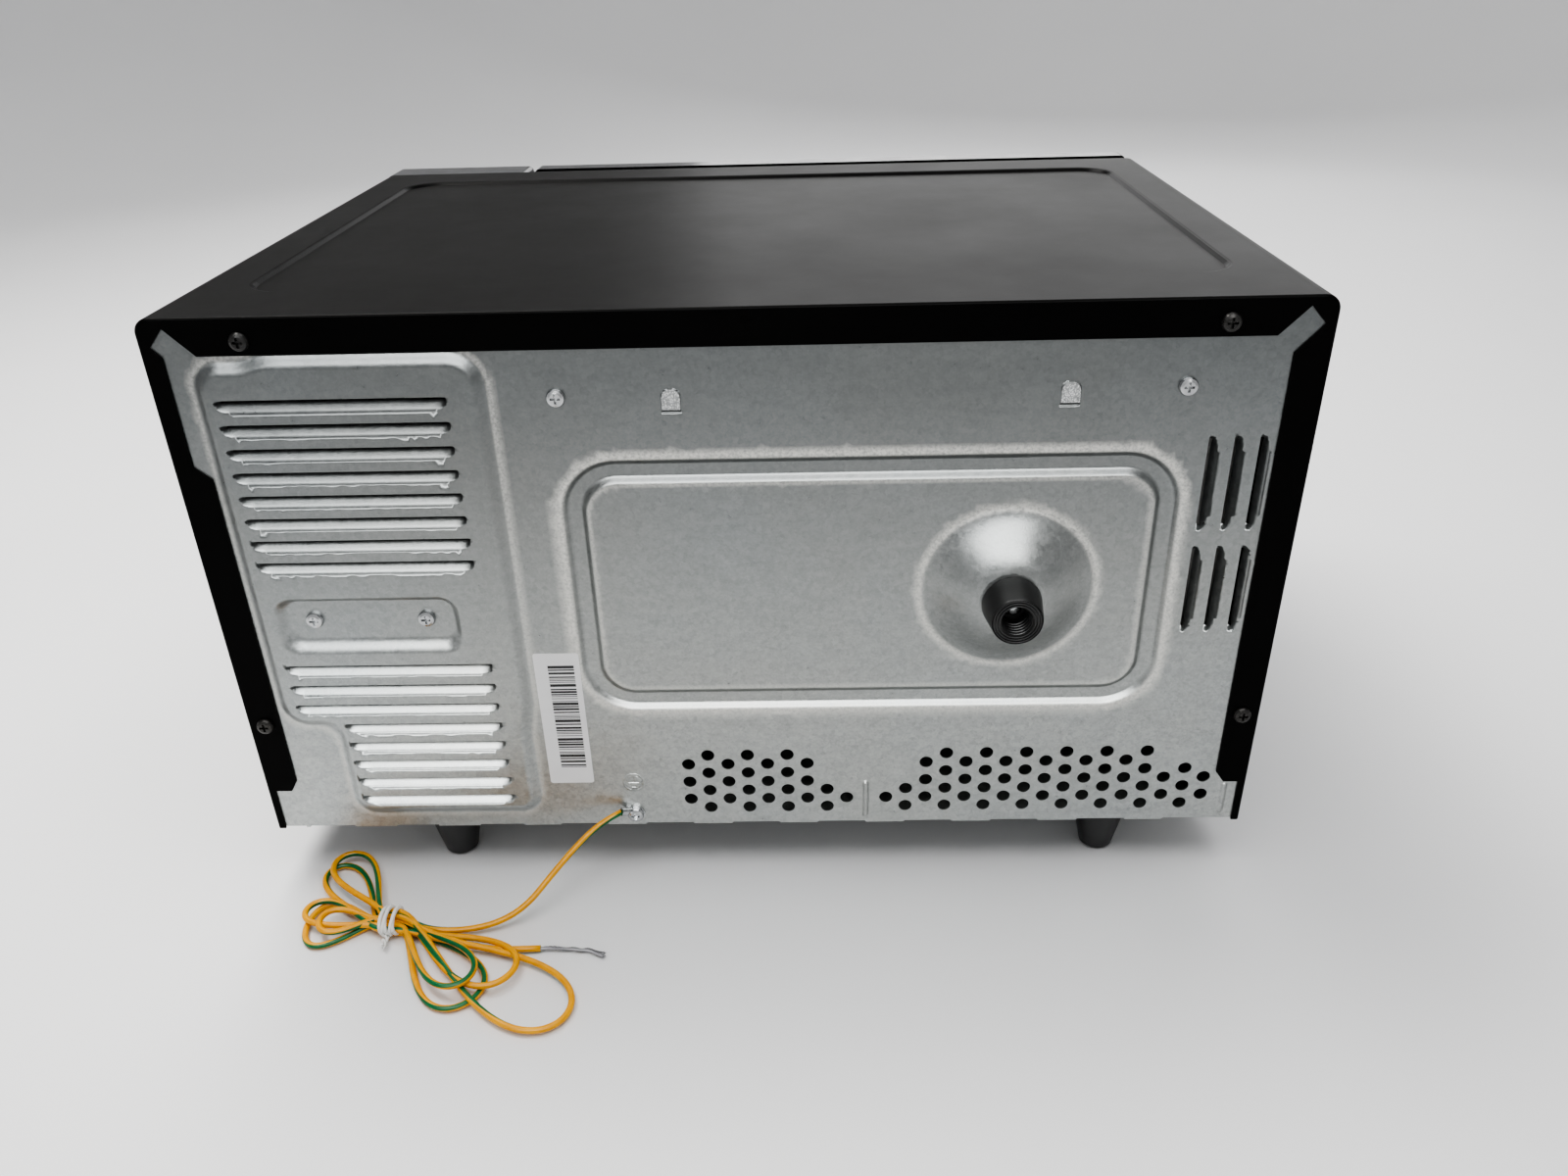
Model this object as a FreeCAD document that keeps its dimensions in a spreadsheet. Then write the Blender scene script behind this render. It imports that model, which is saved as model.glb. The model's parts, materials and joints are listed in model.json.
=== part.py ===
import FreeCAD, Part
import math
import os
import re

import Sketcher
from FreeCAD import Placement, Rotation, Vector

# A countertop microwave oven. Millimetres, +Z up, front towards -Y, right-hand side towards +X.
# The origin is on the supporting surface, under the centre of the oven's bounding box.

DIMS = {
    # cabinet
    "cab_wide": 450, "cab_deep": 308.6, "cab_tall": 244.3, "cab_round": 6, "foot_tall": 25,
    "rear_y": 160, "sheet": 0.8, "edge_round": 1.2,
    "panel_side_x": 200, "panel_back": 37, "panel_front": 280, "panel_round": 18, "panel_sink": 1.5,
    # stamped rear panel
    "bay_left": 96.8, "bay_right": 208.9, "bay_low": 7.8, "bay_high": 228, "bay_rise": 3,
    "notch_x": 186, "notch_z": 57.7, "bay_round": 13, "notch_round": 8,
    "pocket_left": 119.3, "pocket_right": 200.5, "pocket_low": 96.8, "pocket_high": 125.2,
    "pocket_sink": 3.5, "pocket_round": 9,
    "ring_left": -177.6, "ring_right": 72.4, "ring_low": 64.1, "ring_high": 184.4, "ring_width": 11.4,
    "ring_round": 24, "ring_sink": 2.5, "stamp_angle": 55,
    "cone_x": -110.2, "cone_z": 123.8, "cone_wide": 36.7, "cone_top": 13.5, "cone_rise": 13.5,
    "louvre_tall": 5.4, "louvre_slit": 1.7, "louvre_sink": 3.2, "vent_radius": 3,
    # oven cavity
    "cav_left": -210, "cav_right": 85, "cav_front": -155, "cav_back": 130, "cav_low": 50, "cav_high": 240,
    "turn_x": -62.5, "turn_y": -12, "tray_radius": 135, "track_radius": 95, "roller_radius": 6.2,
    "roll_gap": 0.3, "lamp_y": 72, "lamp_z": 205,
    # door and front
    "door_left": -221, "door_right": 136.8, "door_low": 28, "door_high": 269.1, "door_front": -174,
    "door_back": -157, "shell": 2.5, "pane_left": -185, "pane_right": 70, "pane_low": 72, "pane_high": 226,
    "hinge_x": -218, "hinge_y": -160, "pin_radius": 1.5, "pin_gap": 0.05,
    "fascia_left": 139.8, "fascia_right": 223.6, "fascia_front": -173.7, "frame_face": -156,
    "hook_x": 111, "hook_low_z": 90, "hook_high_z": 200, "hook_wide": 5, "hook_lift": 4,
    "dial_x": 181, "timer_z": 196, "power_z": 132, "dial_radius": 21, "dial_front": -188, "stem_radius": 3,
    "button_x": 181, "button_z": 62, "button_wide": 58, "button_tall": 36, "button_gap": 0.5,
    # rear fittings
    "standoff_root": 12.25, "standoff_tip": 10.25, "standoff_bore": 6.5, "standoff_end": 28,
    "screw_head": 3.75, "screw_rise": 2.3, "screw_shank": 1.9, "screw_hole": 2.05, "screw_long": 7,
    "foot_top": 12.25, "foot_end": 7.75, "wire_thick": 2.8, "hank_tall": 10,
    # machinery
    "magnetron_y": 8, "magnetron_z": 188, "fan_x": 156, "fan_y": 112, "fan_z": 205, "fan_radius": 46,
}

doc = FreeCAD.newDocument("microwave_oven")
sheet = doc.addObject("Spreadsheet::Sheet", "dims")
for row, (alias, value) in enumerate(DIMS.items(), start=1):
    sheet.set(f"A{row}", alias)
    sheet.set(f"B{row}", str(value))
    sheet.setAlias(f"B{row}", alias)
doc.recompute()

# Places that follow from the driving dimensions, written once and used in the expressions below.
SIDE = "cab_wide / 2"
TOP = "(foot_tall + cab_tall)"
FRONT = "(rear_y - cab_deep)"
PLATE_OUT = "(rear_y - sheet)"
PLATE_IN = "(rear_y - 2 * sheet)"
MIRRORED = {"xz": -1, "xy": 1, "yz": 1}
AIM = {
    "z": Rotation(),
    "-z": Rotation(Vector(1, 0, 0), 180),
    "y": Rotation(Vector(1, 0, 0), -90),
    "-y": Rotation(Vector(1, 0, 0), 90),
    "x": Rotation(Vector(0, 1, 0), 90),
    "-x": Rotation(Vector(0, 1, 0), -90),
}
nodes = {}
counts = {}


# ---- helpers -------------------------------------------------------------------------------------

def bound(text):
    """The expression with each driving dimension's name pointed at its spreadsheet cell."""
    return re.sub(r"[a-z_]+", lambda m: f"dims.{m[0]}" if m[0] in DIMS else m[0], str(text))


def value(text):
    """The number that an expression has with the sheet's present values."""
    return float(sheet.evalExpression(bound(text)))


def fresh(word):
    counts[word] = counts.get(word, 0) + 1
    return f"{word}_{counts[word]}"


def place(item, at, aim="z"):
    item.Placement = Placement(Vector(), AIM[aim])
    for axis, text in zip("xyz", at):
        item.setExpression(f"Placement.Base.{axis}", bound(f"0 + {text}"))
    return item


def block(x, y, z):
    """A box between two planes along each axis."""
    item = doc.addObject("Part::Box", fresh("block"))
    for prop, (low, high) in zip(("Length", "Width", "Height"), (x, y, z)):
        item.setExpression(prop, bound(f"({high}) - ({low})"))
    return place(item, (x[0], y[0], z[0]))


def rod(radius, length, at, aim="z"):
    item = doc.addObject("Part::Cylinder", fresh("rod"))
    item.setExpression("Radius", bound(radius))
    item.setExpression("Height", bound(length))
    return place(item, at, aim)


def cone(first, last, length, at, aim="z"):
    item = doc.addObject("Part::Cone", fresh("cone"))
    item.setExpression("Radius1", bound(first))
    item.setExpression("Radius2", bound(last))
    item.setExpression("Height", bound(length))
    return place(item, at, aim)


def join(*items):
    if len(items) == 1:
        return items[0]
    item = doc.addObject("Part::MultiFuse", fresh("join"))
    item.Shapes = list(items)
    return item


def group(*items):
    """Separate solids kept together: a set of identical pieces, or a set of cutters."""
    item = doc.addObject("Part::Compound", fresh("group"))
    item.Links = list(items)
    return item


def carve(base, *tools):
    item = doc.addObject("Part::Cut", fresh("carve"))
    item.Base = base
    item.Tool = tools[0] if len(tools) == 1 else join(*tools)
    return item


def new_sketch(body, plane, offset):
    sketch = body.newObject("Sketcher::SketchObject", fresh("sketch"))
    role = f"{plane.upper()}_Plane"
    support = [feature for feature in body.Origin.OriginFeatures if feature.Role == role][0]
    sketch.AttachmentSupport = [(support, "")]
    sketch.MapMode = "FlatFace"
    sketch.AttachmentOffset = Placement(Vector(), Rotation())
    sketch.setExpression("AttachmentOffset.Base.z", bound(f"({offset}) * ({MIRRORED[plane]})"))
    return sketch


def hold(sketch, kind, geometry, point, text):
    """Ties one coordinate of a sketch point to an expression."""
    if abs(value(text)) < 1e-9:
        axis = -2 if kind == "DistanceX" else -1
        sketch.addConstraint(Sketcher.Constraint("PointOnObject", geometry, point, axis))
        return
    index = sketch.addConstraint(Sketcher.Constraint(kind, -1, 1, geometry, point, value(text)))
    sketch.setExpression(f"Constraints[{index}]", bound(text))


def draw_polygon(sketch, points):
    """A closed outline of straight edges; every point is tied to its two expressions."""
    spots = [Vector(value(a), value(b), 0) for a, b in points]
    count = len(spots)
    for i in range(count):
        sketch.addGeometry(Part.LineSegment(spots[i], spots[(i + 1) % count]), False)
    for i in range(count):
        sketch.addConstraint(Sketcher.Constraint("Coincident", i, 2, (i + 1) % count, 1))
    for i, (a, b) in enumerate(points):
        hold(sketch, "DistanceX", i, 1, a)
        hold(sketch, "DistanceY", i, 1, b)


def draw_rounded(sketch, corners):
    """A closed outline of level and upright edges. A corner is (a, b, radius); radius 0 is sharp."""
    spots = [Vector(value(a), value(b), 0) for a, b, _ in corners]
    radii = [value(r) for _, _, r in corners]
    count = len(spots)
    ways = [(spots[(i + 1) % count] - spots[i]).normalize() for i in range(count)]
    for i in range(count):
        start = spots[i] + ways[i] * radii[i]
        end = spots[(i + 1) % count] - ways[i] * radii[(i + 1) % count]
        sketch.addGeometry(Part.LineSegment(start, end), False)
        level = abs(ways[i].y) < 1e-9
        sketch.addConstraint(Sketcher.Constraint("Horizontal" if level else "Vertical", i))
        hold(sketch, "DistanceY" if level else "DistanceX", i, 1, corners[i][1] if level else corners[i][0])
    for i in range(count):
        before = (i - 1) % count
        if radii[i] == 0:
            sketch.addConstraint(Sketcher.Constraint("Coincident", before, 2, i, 1))
            continue
        centre = spots[i] + (ways[i] - ways[before]) * radii[i]
        middle = centre + (spots[i] - centre).normalize() * radii[i]
        arc = Part.Arc(spots[i] - ways[before] * radii[i], middle, spots[i] + ways[i] * radii[i])
        index = sketch.addGeometry(arc, False)
        left_turn = ways[before].cross(ways[i]).z > 0
        first, last = (1, 2) if left_turn else (2, 1)
        sketch.addConstraint(Sketcher.Constraint("Tangent", before, 2, index, first))
        sketch.addConstraint(Sketcher.Constraint("Tangent", i, 1, index, last))
        held = sketch.addConstraint(Sketcher.Constraint("Radius", index, radii[i]))
        sketch.setExpression(f"Constraints[{held}]", bound(corners[i][2]))


def slab(plane, outline, start, end, taper=None):
    """A padded outline from one level to another; a taper, in degrees, draws the far end in."""
    body = doc.addObject("PartDesign::Body", fresh("slab"))
    sketch = new_sketch(body, plane, start)
    if len(outline[0]) == 3:
        draw_rounded(sketch, outline)
    else:
        draw_polygon(sketch, outline)
    pad = body.newObject("PartDesign::Pad", fresh("pad"))
    pad.Profile = sketch
    forward = (value(end) - value(start)) * MIRRORED[plane] > 0
    pad.Reversed = not forward
    pad.setExpression("Length", bound(f"abs(({end}) - ({start}))"))
    if taper is not None:
        pad.setExpression("TaperAngle", bound(f"0 - ({taper})"))
    return body


def frame_of(left, right, low, high, radius="0"):
    """The four corners of an upright rectangle, in the order that the sketches want."""
    return [(left, low, radius), (right, low, radius), (right, high, radius), (left, high, radius)]


def turned(profile, at, aim="z"):
    """A revolved body. The profile is (radius, height) points; the axis is at `at`, along `aim`."""
    body = doc.addObject("PartDesign::Body", fresh("turned"))
    sketch = new_sketch(body, "xz", "0")
    draw_polygon(sketch, profile)
    spin = body.newObject("PartDesign::Revolution", fresh("revolve"))
    spin.Profile = sketch
    spin.ReferenceAxis = (sketch, ["V_Axis"])
    spin.Angle = 360
    return place(body, at, aim)


def soften(body, radius, chosen):
    """Rounds the edges of a body's tip that `chosen` picks."""
    doc.recompute()
    tip = body.Tip
    names = [f"Edge{i}" for i, edge in enumerate(tip.Shape.Edges, start=1) if chosen(edge.BoundBox)]
    fillet = body.newObject("PartDesign::Fillet", fresh("fillet"))
    fillet.Base = (tip, names)
    fillet.setExpression("Radius", bound(radius))
    return body


def keep(name, item):
    item.Label = name
    nodes[name] = item
    return item


# ---- cabinet -------------------------------------------------------------------------------------

CABINET_SCREWS = [("185.6", "235"), ("0 - 185.4", "235"), ("217.2", "59"), ("0 - 217.2", "59")]
PANEL_SCREWS = [("68.5", "210.3"), ("0 - 173.2", "210.3")]
POCKET_SCREWS = [("183.4", "113"), ("135.2", "113")]
EARTH_X, EARTH_Z = "54.6", "6.9"


def screw_holes(spots, first, last):
    return [rod("screw_hole", f"({last}) - ({first})", (x, last, f"foot_tall + {z}"), "-y") for x, z in spots]


def outer_cabinet():
    """The painted wrap: top, two sides, and a turned-in rear flange. Its top panel is pressed in."""
    outer = slab("xz", [(f"0 - {SIDE}", "foot_tall", "0"), (SIDE, "foot_tall", "0"), (SIDE, TOP, "cab_round"),
                        (f"0 - {SIDE}", TOP, "cab_round")], "rear_y", FRONT)
    soften(outer, "edge_round",
           lambda box: box.YMin > value("rear_y") - 0.01 and box.ZMax > value("foot_tall") + 1)
    wall_x = f"({SIDE} - sheet)"
    hollow = slab("xz", [(f"0 - {wall_x}", "foot_tall - 5", "0"), (wall_x, "foot_tall - 5", "0"),
                         (wall_x, f"{TOP} - sheet", "cab_round - sheet"),
                         (f"0 - {wall_x}", f"{TOP} - sheet", "cab_round - sheet")],
                  "rear_y - sheet", f"{FRONT} - 5")
    window = slab("xz", [
        ("210.4", "foot_tall + 27.4"), ("213.6", "foot_tall + 22"), ("221.4", "foot_tall + 22"),
        ("221.4", "foot_tall - 5"), ("0 - 221.4", "foot_tall - 5"), ("0 - 221.4", "foot_tall + 22"),
        ("0 - 214.6", "foot_tall + 22"), ("0 - 210.8", "foot_tall + 27.4"),
        ("0 - 210.8", "foot_tall + 222.5"), ("0 - 220.6", "foot_tall + 233.4"),
        ("0 - 214.2", "foot_tall + 240.4"),
        ("0 - 203.5", "foot_tall + 229.4"), ("203.5", "foot_tall + 229.4"), ("214.2", "foot_tall + 240.4"),
        ("220.6", "foot_tall + 233"), ("216.9", "foot_tall + 229"), ("216.9", "foot_tall + 184"),
        ("210.4", "foot_tall + 178.5")], "rear_y + 5", "rear_y - 5")
    back, front = "rear_y - panel_back", "rear_y - panel_front"

    def top_panel(grow, start, end, taper):
        return slab("xy", frame_of(f"0 - panel_side_x - {grow}", f"panel_side_x + {grow}",
                                   f"{front} - {grow}", f"{back} + {grow}", f"panel_round + {grow}"),
                    start, end, taper)

    lining = top_panel("sheet", f"{TOP} - sheet / 2", f"{TOP} - panel_sink - sheet", "45")
    sunk = top_panel("0", TOP, f"{TOP} - panel_sink", "50")
    eased_rim = top_panel("0.9", TOP, f"{TOP} - 0.25", "75")
    shell = carve(outer, hollow)
    pressed = carve(join(shell, lining), sunk, eased_rim)
    holes = screw_holes(CABINET_SCREWS, "rear_y - 3", "rear_y + 3")
    keep("outer_cabinet", carve(pressed, window, *holes))


def louvre(left, right, top):
    """A level louvre: the strip under a slit is pressed inwards. Returns its cutter and its flap."""
    low, out, inn = f"{top} - louvre_tall", f"{PLATE_OUT} + bay_rise", f"{PLATE_IN} + bay_rise"
    cutter = block((left, right), (f"{inn} - 1", f"{out} + 1"), (low, top))
    flap = slab("yz", [(out, low), (f"{inn} - louvre_sink", f"{top} - louvre_slit"),
                       (f"{inn} - louvre_sink - sheet", f"{top} - louvre_slit - 0.3"), (inn, f"{low} - 0.3")],
                left, right)
    return cutter, flap


def side_louvre(x, low, high):
    """An upright louvre with its slit on the +X side."""
    width = "4.4"
    cutter = block((f"{x} - {width}", x), (f"{PLATE_IN} - 1", f"{PLATE_OUT} + 1"), (low, high))
    flap = slab("xy", [(f"{x} - {width}", PLATE_OUT), (f"{x} - {width} - 0.3", PLATE_IN),
                       (f"{x} - 1.6 - 0.3", f"{PLATE_IN} - louvre_sink + 0.6"),
                       (f"{x} - 1.3", f"{PLATE_IN} - louvre_sink + 1.4")], low, high)
    return cutter, flap


# Level louvres: left edge, right edge, height of the first above the cabinet's foot, pitch, count.
LOUVRE_ROWS = [("110", "200.5", 212.3, 10.07, 8), ("109.6", "200", 91.5, 10.2, 3),
               ("109.6", "180", 60.7, 10.05, 5)]
SIDE_LOUVRES = [("148.2", "189.8"), ("100.8", "141.8")]
VENT_PITCH_X, VENT_PITCH_Z, VENT_START_X, VENT_START_Z = 9.0, 4.93, 28.4, 9.6
FULL_ODD, FULL_EVEN = (1, 3, 5), (0, 2, 4, 6)


def vent_spots():
    """The staggered round vents along the foot of the panel, in two fields with stepped inner ends."""
    rows = {i: FULL_EVEN if i % 2 else FULL_ODD for i in range(27)}
    rows.update({7: (0, 2), 8: (1,), 9: (), 10: (1,), 11: (0, 2), 24: (1, 3), 25: (0, 2, 4), 26: (1, 3)})
    for column, levels in rows.items():
        for level in levels:
            yield VENT_START_X - VENT_PITCH_X * column, VENT_START_Z + VENT_PITCH_Z * level


def rear_panel():
    """The stamped galvanised panel, with its raised fan bay, groove, cone, louvres and vents."""
    up = "foot_tall"
    plate = slab("xz", [("0 - 223.6", f"{up} + 1", "0"), ("223.6", f"{up} + 1", "0"),
                        ("223.6", f"{TOP} - 1.5", "12"), ("0 - 223.6", f"{TOP} - 1.5", "12")],
                 PLATE_OUT, PLATE_IN)
    tabs = [block((f"{x} - 9", f"{x} + 9"), (PLATE_IN, PLATE_OUT), (up, f"{up} + 1"))
            for x in (19 + 40 * k for k in range(-6, 6)) if abs(x) < 212]

    def bay(inset, start, end):
        left, right = f"bay_left + {inset}", f"bay_right - {inset}"
        low, high = f"{up} + bay_low + {inset}", f"{up} + bay_high - {inset}"
        notch_x, notch_z = f"notch_x - {inset}", f"{up} + notch_z + {inset}"
        return slab("xz", [
            (left, low, "notch_round"), (notch_x, low, "notch_round"), (notch_x, notch_z, "notch_round"),
            (right, notch_z, "notch_round"), (right, high, "bay_round"), (left, high, "bay_round"),
        ], start, end, "stamp_angle")

    def ring(inset, start, end):
        return slab("xz", frame_of(f"ring_left + {inset}", f"ring_right - {inset}",
                                   f"{up} + ring_low + {inset}", f"{up} + ring_high - {inset}",
                                   f"ring_round - {inset}"), start, end, "stamp_angle")

    def pocket(grow, start, end):
        return slab("xz", frame_of(f"pocket_left - {grow}", f"pocket_right + {grow}",
                                   f"{up} + pocket_low - {grow}", f"{up} + pocket_high + {grow}",
                                   f"pocket_round + {grow}"), start, end, "stamp_angle")

    raised = bay("0", PLATE_OUT, f"{PLATE_OUT} + bay_rise")
    hollow = bay("0.5", PLATE_IN, f"{PLATE_IN} + bay_rise")
    pocket_skin = pocket("0.5", f"{PLATE_IN} + bay_rise", f"{PLATE_IN} + bay_rise - pocket_sink")
    pocket_cut = pocket("0", f"{PLATE_OUT} + bay_rise", f"{PLATE_OUT} + bay_rise - pocket_sink")
    # The groove's inner edge, at its floor: its width less the run of its slope.
    inner_edge = "(ring_width - ring_sink * tan(stamp_angle))"
    groove_skin = carve(ring("(0 - 0.5)", PLATE_IN, f"{PLATE_IN} - ring_sink"),
                        ring(f"({inner_edge} + 0.5)", f"{PLATE_IN} - ring_sink", PLATE_IN))
    groove_cut = carve(ring("0", PLATE_OUT, f"{PLATE_OUT} - ring_sink"),
                       ring(inner_edge, f"{PLATE_OUT} - ring_sink", PLATE_OUT))
    boss_at = ("cone_x", PLATE_OUT, f"{up} + cone_z")
    boss = cone("cone_wide", "cone_top", "cone_rise", boss_at, "y")
    boss_hollow = cone("cone_wide - 1", "cone_top - 1", "cone_rise",
                       ("cone_x", PLATE_IN, f"{up} + cone_z"), "y")
    boss_bore = rod("screw_hole + 2", "30", ("cone_x", f"{PLATE_OUT} - 5", f"{up} + cone_z"), "y")

    pressed = carve(join(plate, raised, boss, *tabs), hollow, boss_hollow, boss_bore)
    pressed = carve(join(pressed, pocket_skin, groove_skin), pocket_cut, groove_cut)

    louvres = [louvre(left, right, f"{up} + {top - pitch * k:.2f}")
               for left, right, top, pitch, count in LOUVRE_ROWS for k in range(count)]
    louvres += [side_louvre(f"0 - {184.4 + 9.95 * k:.2f}", f"{up} + {low}", f"{up} + {high}")
                for low, high in SIDE_LOUVRES for k in range(3)]
    slits = [slit for slit, _ in louvres]
    flaps = [flap for _, flap in louvres]
    vents = [rod("vent_radius", "6", (x, f"{PLATE_IN} - 2", f"{up} + {z}"), "y") for x, z in vent_spots()]
    holes = screw_holes(CABINET_SCREWS + PANEL_SCREWS + [(EARTH_X, EARTH_Z)], "rear_y - 4", "rear_y + 3")
    holes += screw_holes(POCKET_SCREWS, "rear_y - 6", "rear_y + 3")
    keys = []
    for x in ("24.2", "0 - 129.1"):
        keys.append(rod("3.9", "1", (x, PLATE_OUT, f"{up} + 209.4"), "y"))
        keys.append(block((f"{x} - 3.9", f"{x} + 3.9"), (PLATE_OUT, f"{PLATE_OUT} + 1"),
                          (f"{up} + 204.5", f"{up} + 209.4")))
        slits.append(block((f"{x} - 3.9", f"{x} + 3.9"), (f"{PLATE_IN} - 1", f"{PLATE_OUT} + 2"),
                           (f"{up} + 203.5", f"{up} + 204.5")))
    ribs = [block((f"0 - {left}", f"0 - {right}"), (PLATE_OUT, f"{PLATE_OUT} + {rise}"),
                  (f"{up} + 3.4", f"{up} + {high}"))
            for left, right, rise, high in (("53.6", "50.6", "1.2", "24.5"), ("217", "214.4", "0.7", "21"))]
    cut = carve(join(pressed, *keys, *ribs), group(*slits), group(*vents), *holes)
    keep("rear_panel", join(cut, *flaps))


def base_plate():
    pan = block(("0 - 223.9", "223.9"), (f"{FRONT} + 1", f"{PLATE_IN} - 0.1"), ("foot_tall", "foot_tall + 1"))
    lips = [block((f"{x} - 0.5", f"{x} + 0.5"), (f"{FRONT} + 12", f"{PLATE_IN} - 0.1"),
                  ("foot_tall", "foot_tall + 11")) for x in ("223.4", "0 - 223.4")]
    slots = [block((f"{120 + 9 * k}", f"{124 + 9 * k}"), ("60", "110"), ("foot_tall - 1", "foot_tall + 2"))
             for k in range(8)]
    bush = rod("8.1", "3", ("205", "130", "foot_tall - 1"))
    holes = [rod("screw_hole", "3", (x, y, "foot_tall - 1")) for _, x, y in FEET]
    keep("base_plate", carve(join(pan, *lips), group(*slots, bush, *holes)))


FEET = [("rear_right_foot", "145", "144"), ("rear_left_foot", "0 - 164.5", "144"),
        ("front_right_foot", "145", "0 - 122"), ("front_left_foot", "0 - 164.5", "0 - 122")]


def feet():
    """Four moulded feet, with a countersunk hollow under each for its screw."""
    for name, x, y in FEET:
        profile = [("3.2", "0"), ("foot_end - 1.5", "0"), ("foot_end", "1.5"),
                   ("foot_top", "foot_tall - 2"), ("foot_top", "foot_tall"),
                   ("screw_hole", "foot_tall"), ("screw_hole", "12"), ("3.2", "12")]
        keep(name, turned(profile, (x, y, "0")))


# ---- oven cavity and front frame -----------------------------------------------------------------

def cavity_liner():
    outer = block(("cav_left - sheet", "cav_right + sheet"), ("cav_front + 0.2", "cav_back + sheet"),
                  ("cav_low - sheet", "cav_high + sheet"))
    inner = block(("cav_left", "cav_right"), ("cav_front - 5", "cav_back"), ("cav_low", "cav_high"))
    shaft = rod("9", "4", ("turn_x", "turn_y", "cav_low - 2"))
    port = block(("cav_right - 1", "cav_right + 2"), ("magnetron_y - 30", "magnetron_y + 30"),
                 ("magnetron_z - 14", "magnetron_z + 14"))
    lamp_hole = rod("10", "4", ("cav_right - 1", "lamp_y", "lamp_z"), "x")
    keep("cavity_liner", carve(outer, inner, shaft, port, lamp_hole))
    keep("waveguide_cover", block(("cav_right - 0.7", "cav_right"), ("magnetron_y - 36", "magnetron_y + 36"),
                                  ("magnetron_z - 20", "magnetron_z + 20")))
    pipe = block(("cav_right + sheet", "108"), ("magnetron_y - 38", "magnetron_y + 38"),
                 ("magnetron_z - 24", "magnetron_z + 24"))
    bore = block(("cav_right", "107"), ("magnetron_y - 37", "magnetron_y + 37"),
                 ("magnetron_z - 23", "magnetron_z + 23"))
    keep("waveguide", carve(pipe, bore, rod("12", "4", ("106", "magnetron_y", "magnetron_z"), "x")))


def front_frame():
    """The painted steel face that the cavity opens through and the door closes on."""
    right = "fascia_left - 1.2"
    outer = slab("xz", [("0 - 224", "foot_tall + 1.1", "0"), (right, "foot_tall + 1.1", "0"),
                        (right, f"{TOP} - 1", "0"), ("0 - 224", f"{TOP} - 1", "cab_round")],
                 "frame_face", "frame_face + 16")
    inner = slab("xz", [("0 - 223.2", "foot_tall + 1.9", "0"), (f"{right} - sheet", "foot_tall + 1.9", "0"),
                        (f"{right} - sheet", f"{TOP} - 1.8", "0"),
                        ("0 - 223.2", f"{TOP} - 1.8", "cab_round - sheet")],
                 "frame_face + sheet", "frame_face + 20")
    mouth = block(("cav_left", "cav_right"), ("frame_face - 1", "frame_face + 2"), ("cav_low", "cav_high"))
    slots = [block(("hook_x - 7", "hook_x + 6"), ("frame_face - 1", "frame_face + 2"),
                   (f"{z} - 9", f"{z} + 13")) for z in ("hook_low_z", "hook_high_z")]
    gaps = [block(("hinge_x - 6.5", "hinge_x + 6"), ("frame_face - 1", "frame_face + 2"),
                  (f"{z} - 1", f"{z} + 4")) for z in ("door_low + 12", "door_high - 16")]
    keep("front_frame", carve(outer, inner, mouth, *slots, *gaps))


def hinges():
    """Two steel arms through the front frame, each with the pin that the door turns on."""
    for name, low, pin_low, pin_high in (
            ("lower_hinge", "door_low + 12", "door_low + 4", "door_low + 12"),
            ("upper_hinge", "door_high - 16", "door_high - 13", "door_high - 5")):
        foot = block(("hinge_x - 4", "hinge_x + 6.5"), ("frame_face + sheet", "frame_face + 2.8"),
                     (f"{low} - 8", f"{low} + 11"))
        arm = block(("hinge_x - 3", "hinge_x + 3"), ("hinge_y", "frame_face + 2"), (low, f"{low} + 3"))
        nose = rod("3", "3", ("hinge_x", "hinge_y", low))
        pin = rod("pin_radius", f"({pin_high}) - ({pin_low})", ("hinge_x", "hinge_y", pin_low))
        keep(name, join(foot, arm, nose, pin))


# ---- turntable -----------------------------------------------------------------------------------

ROLLER_ANGLES = (30, 150, 270)


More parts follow.
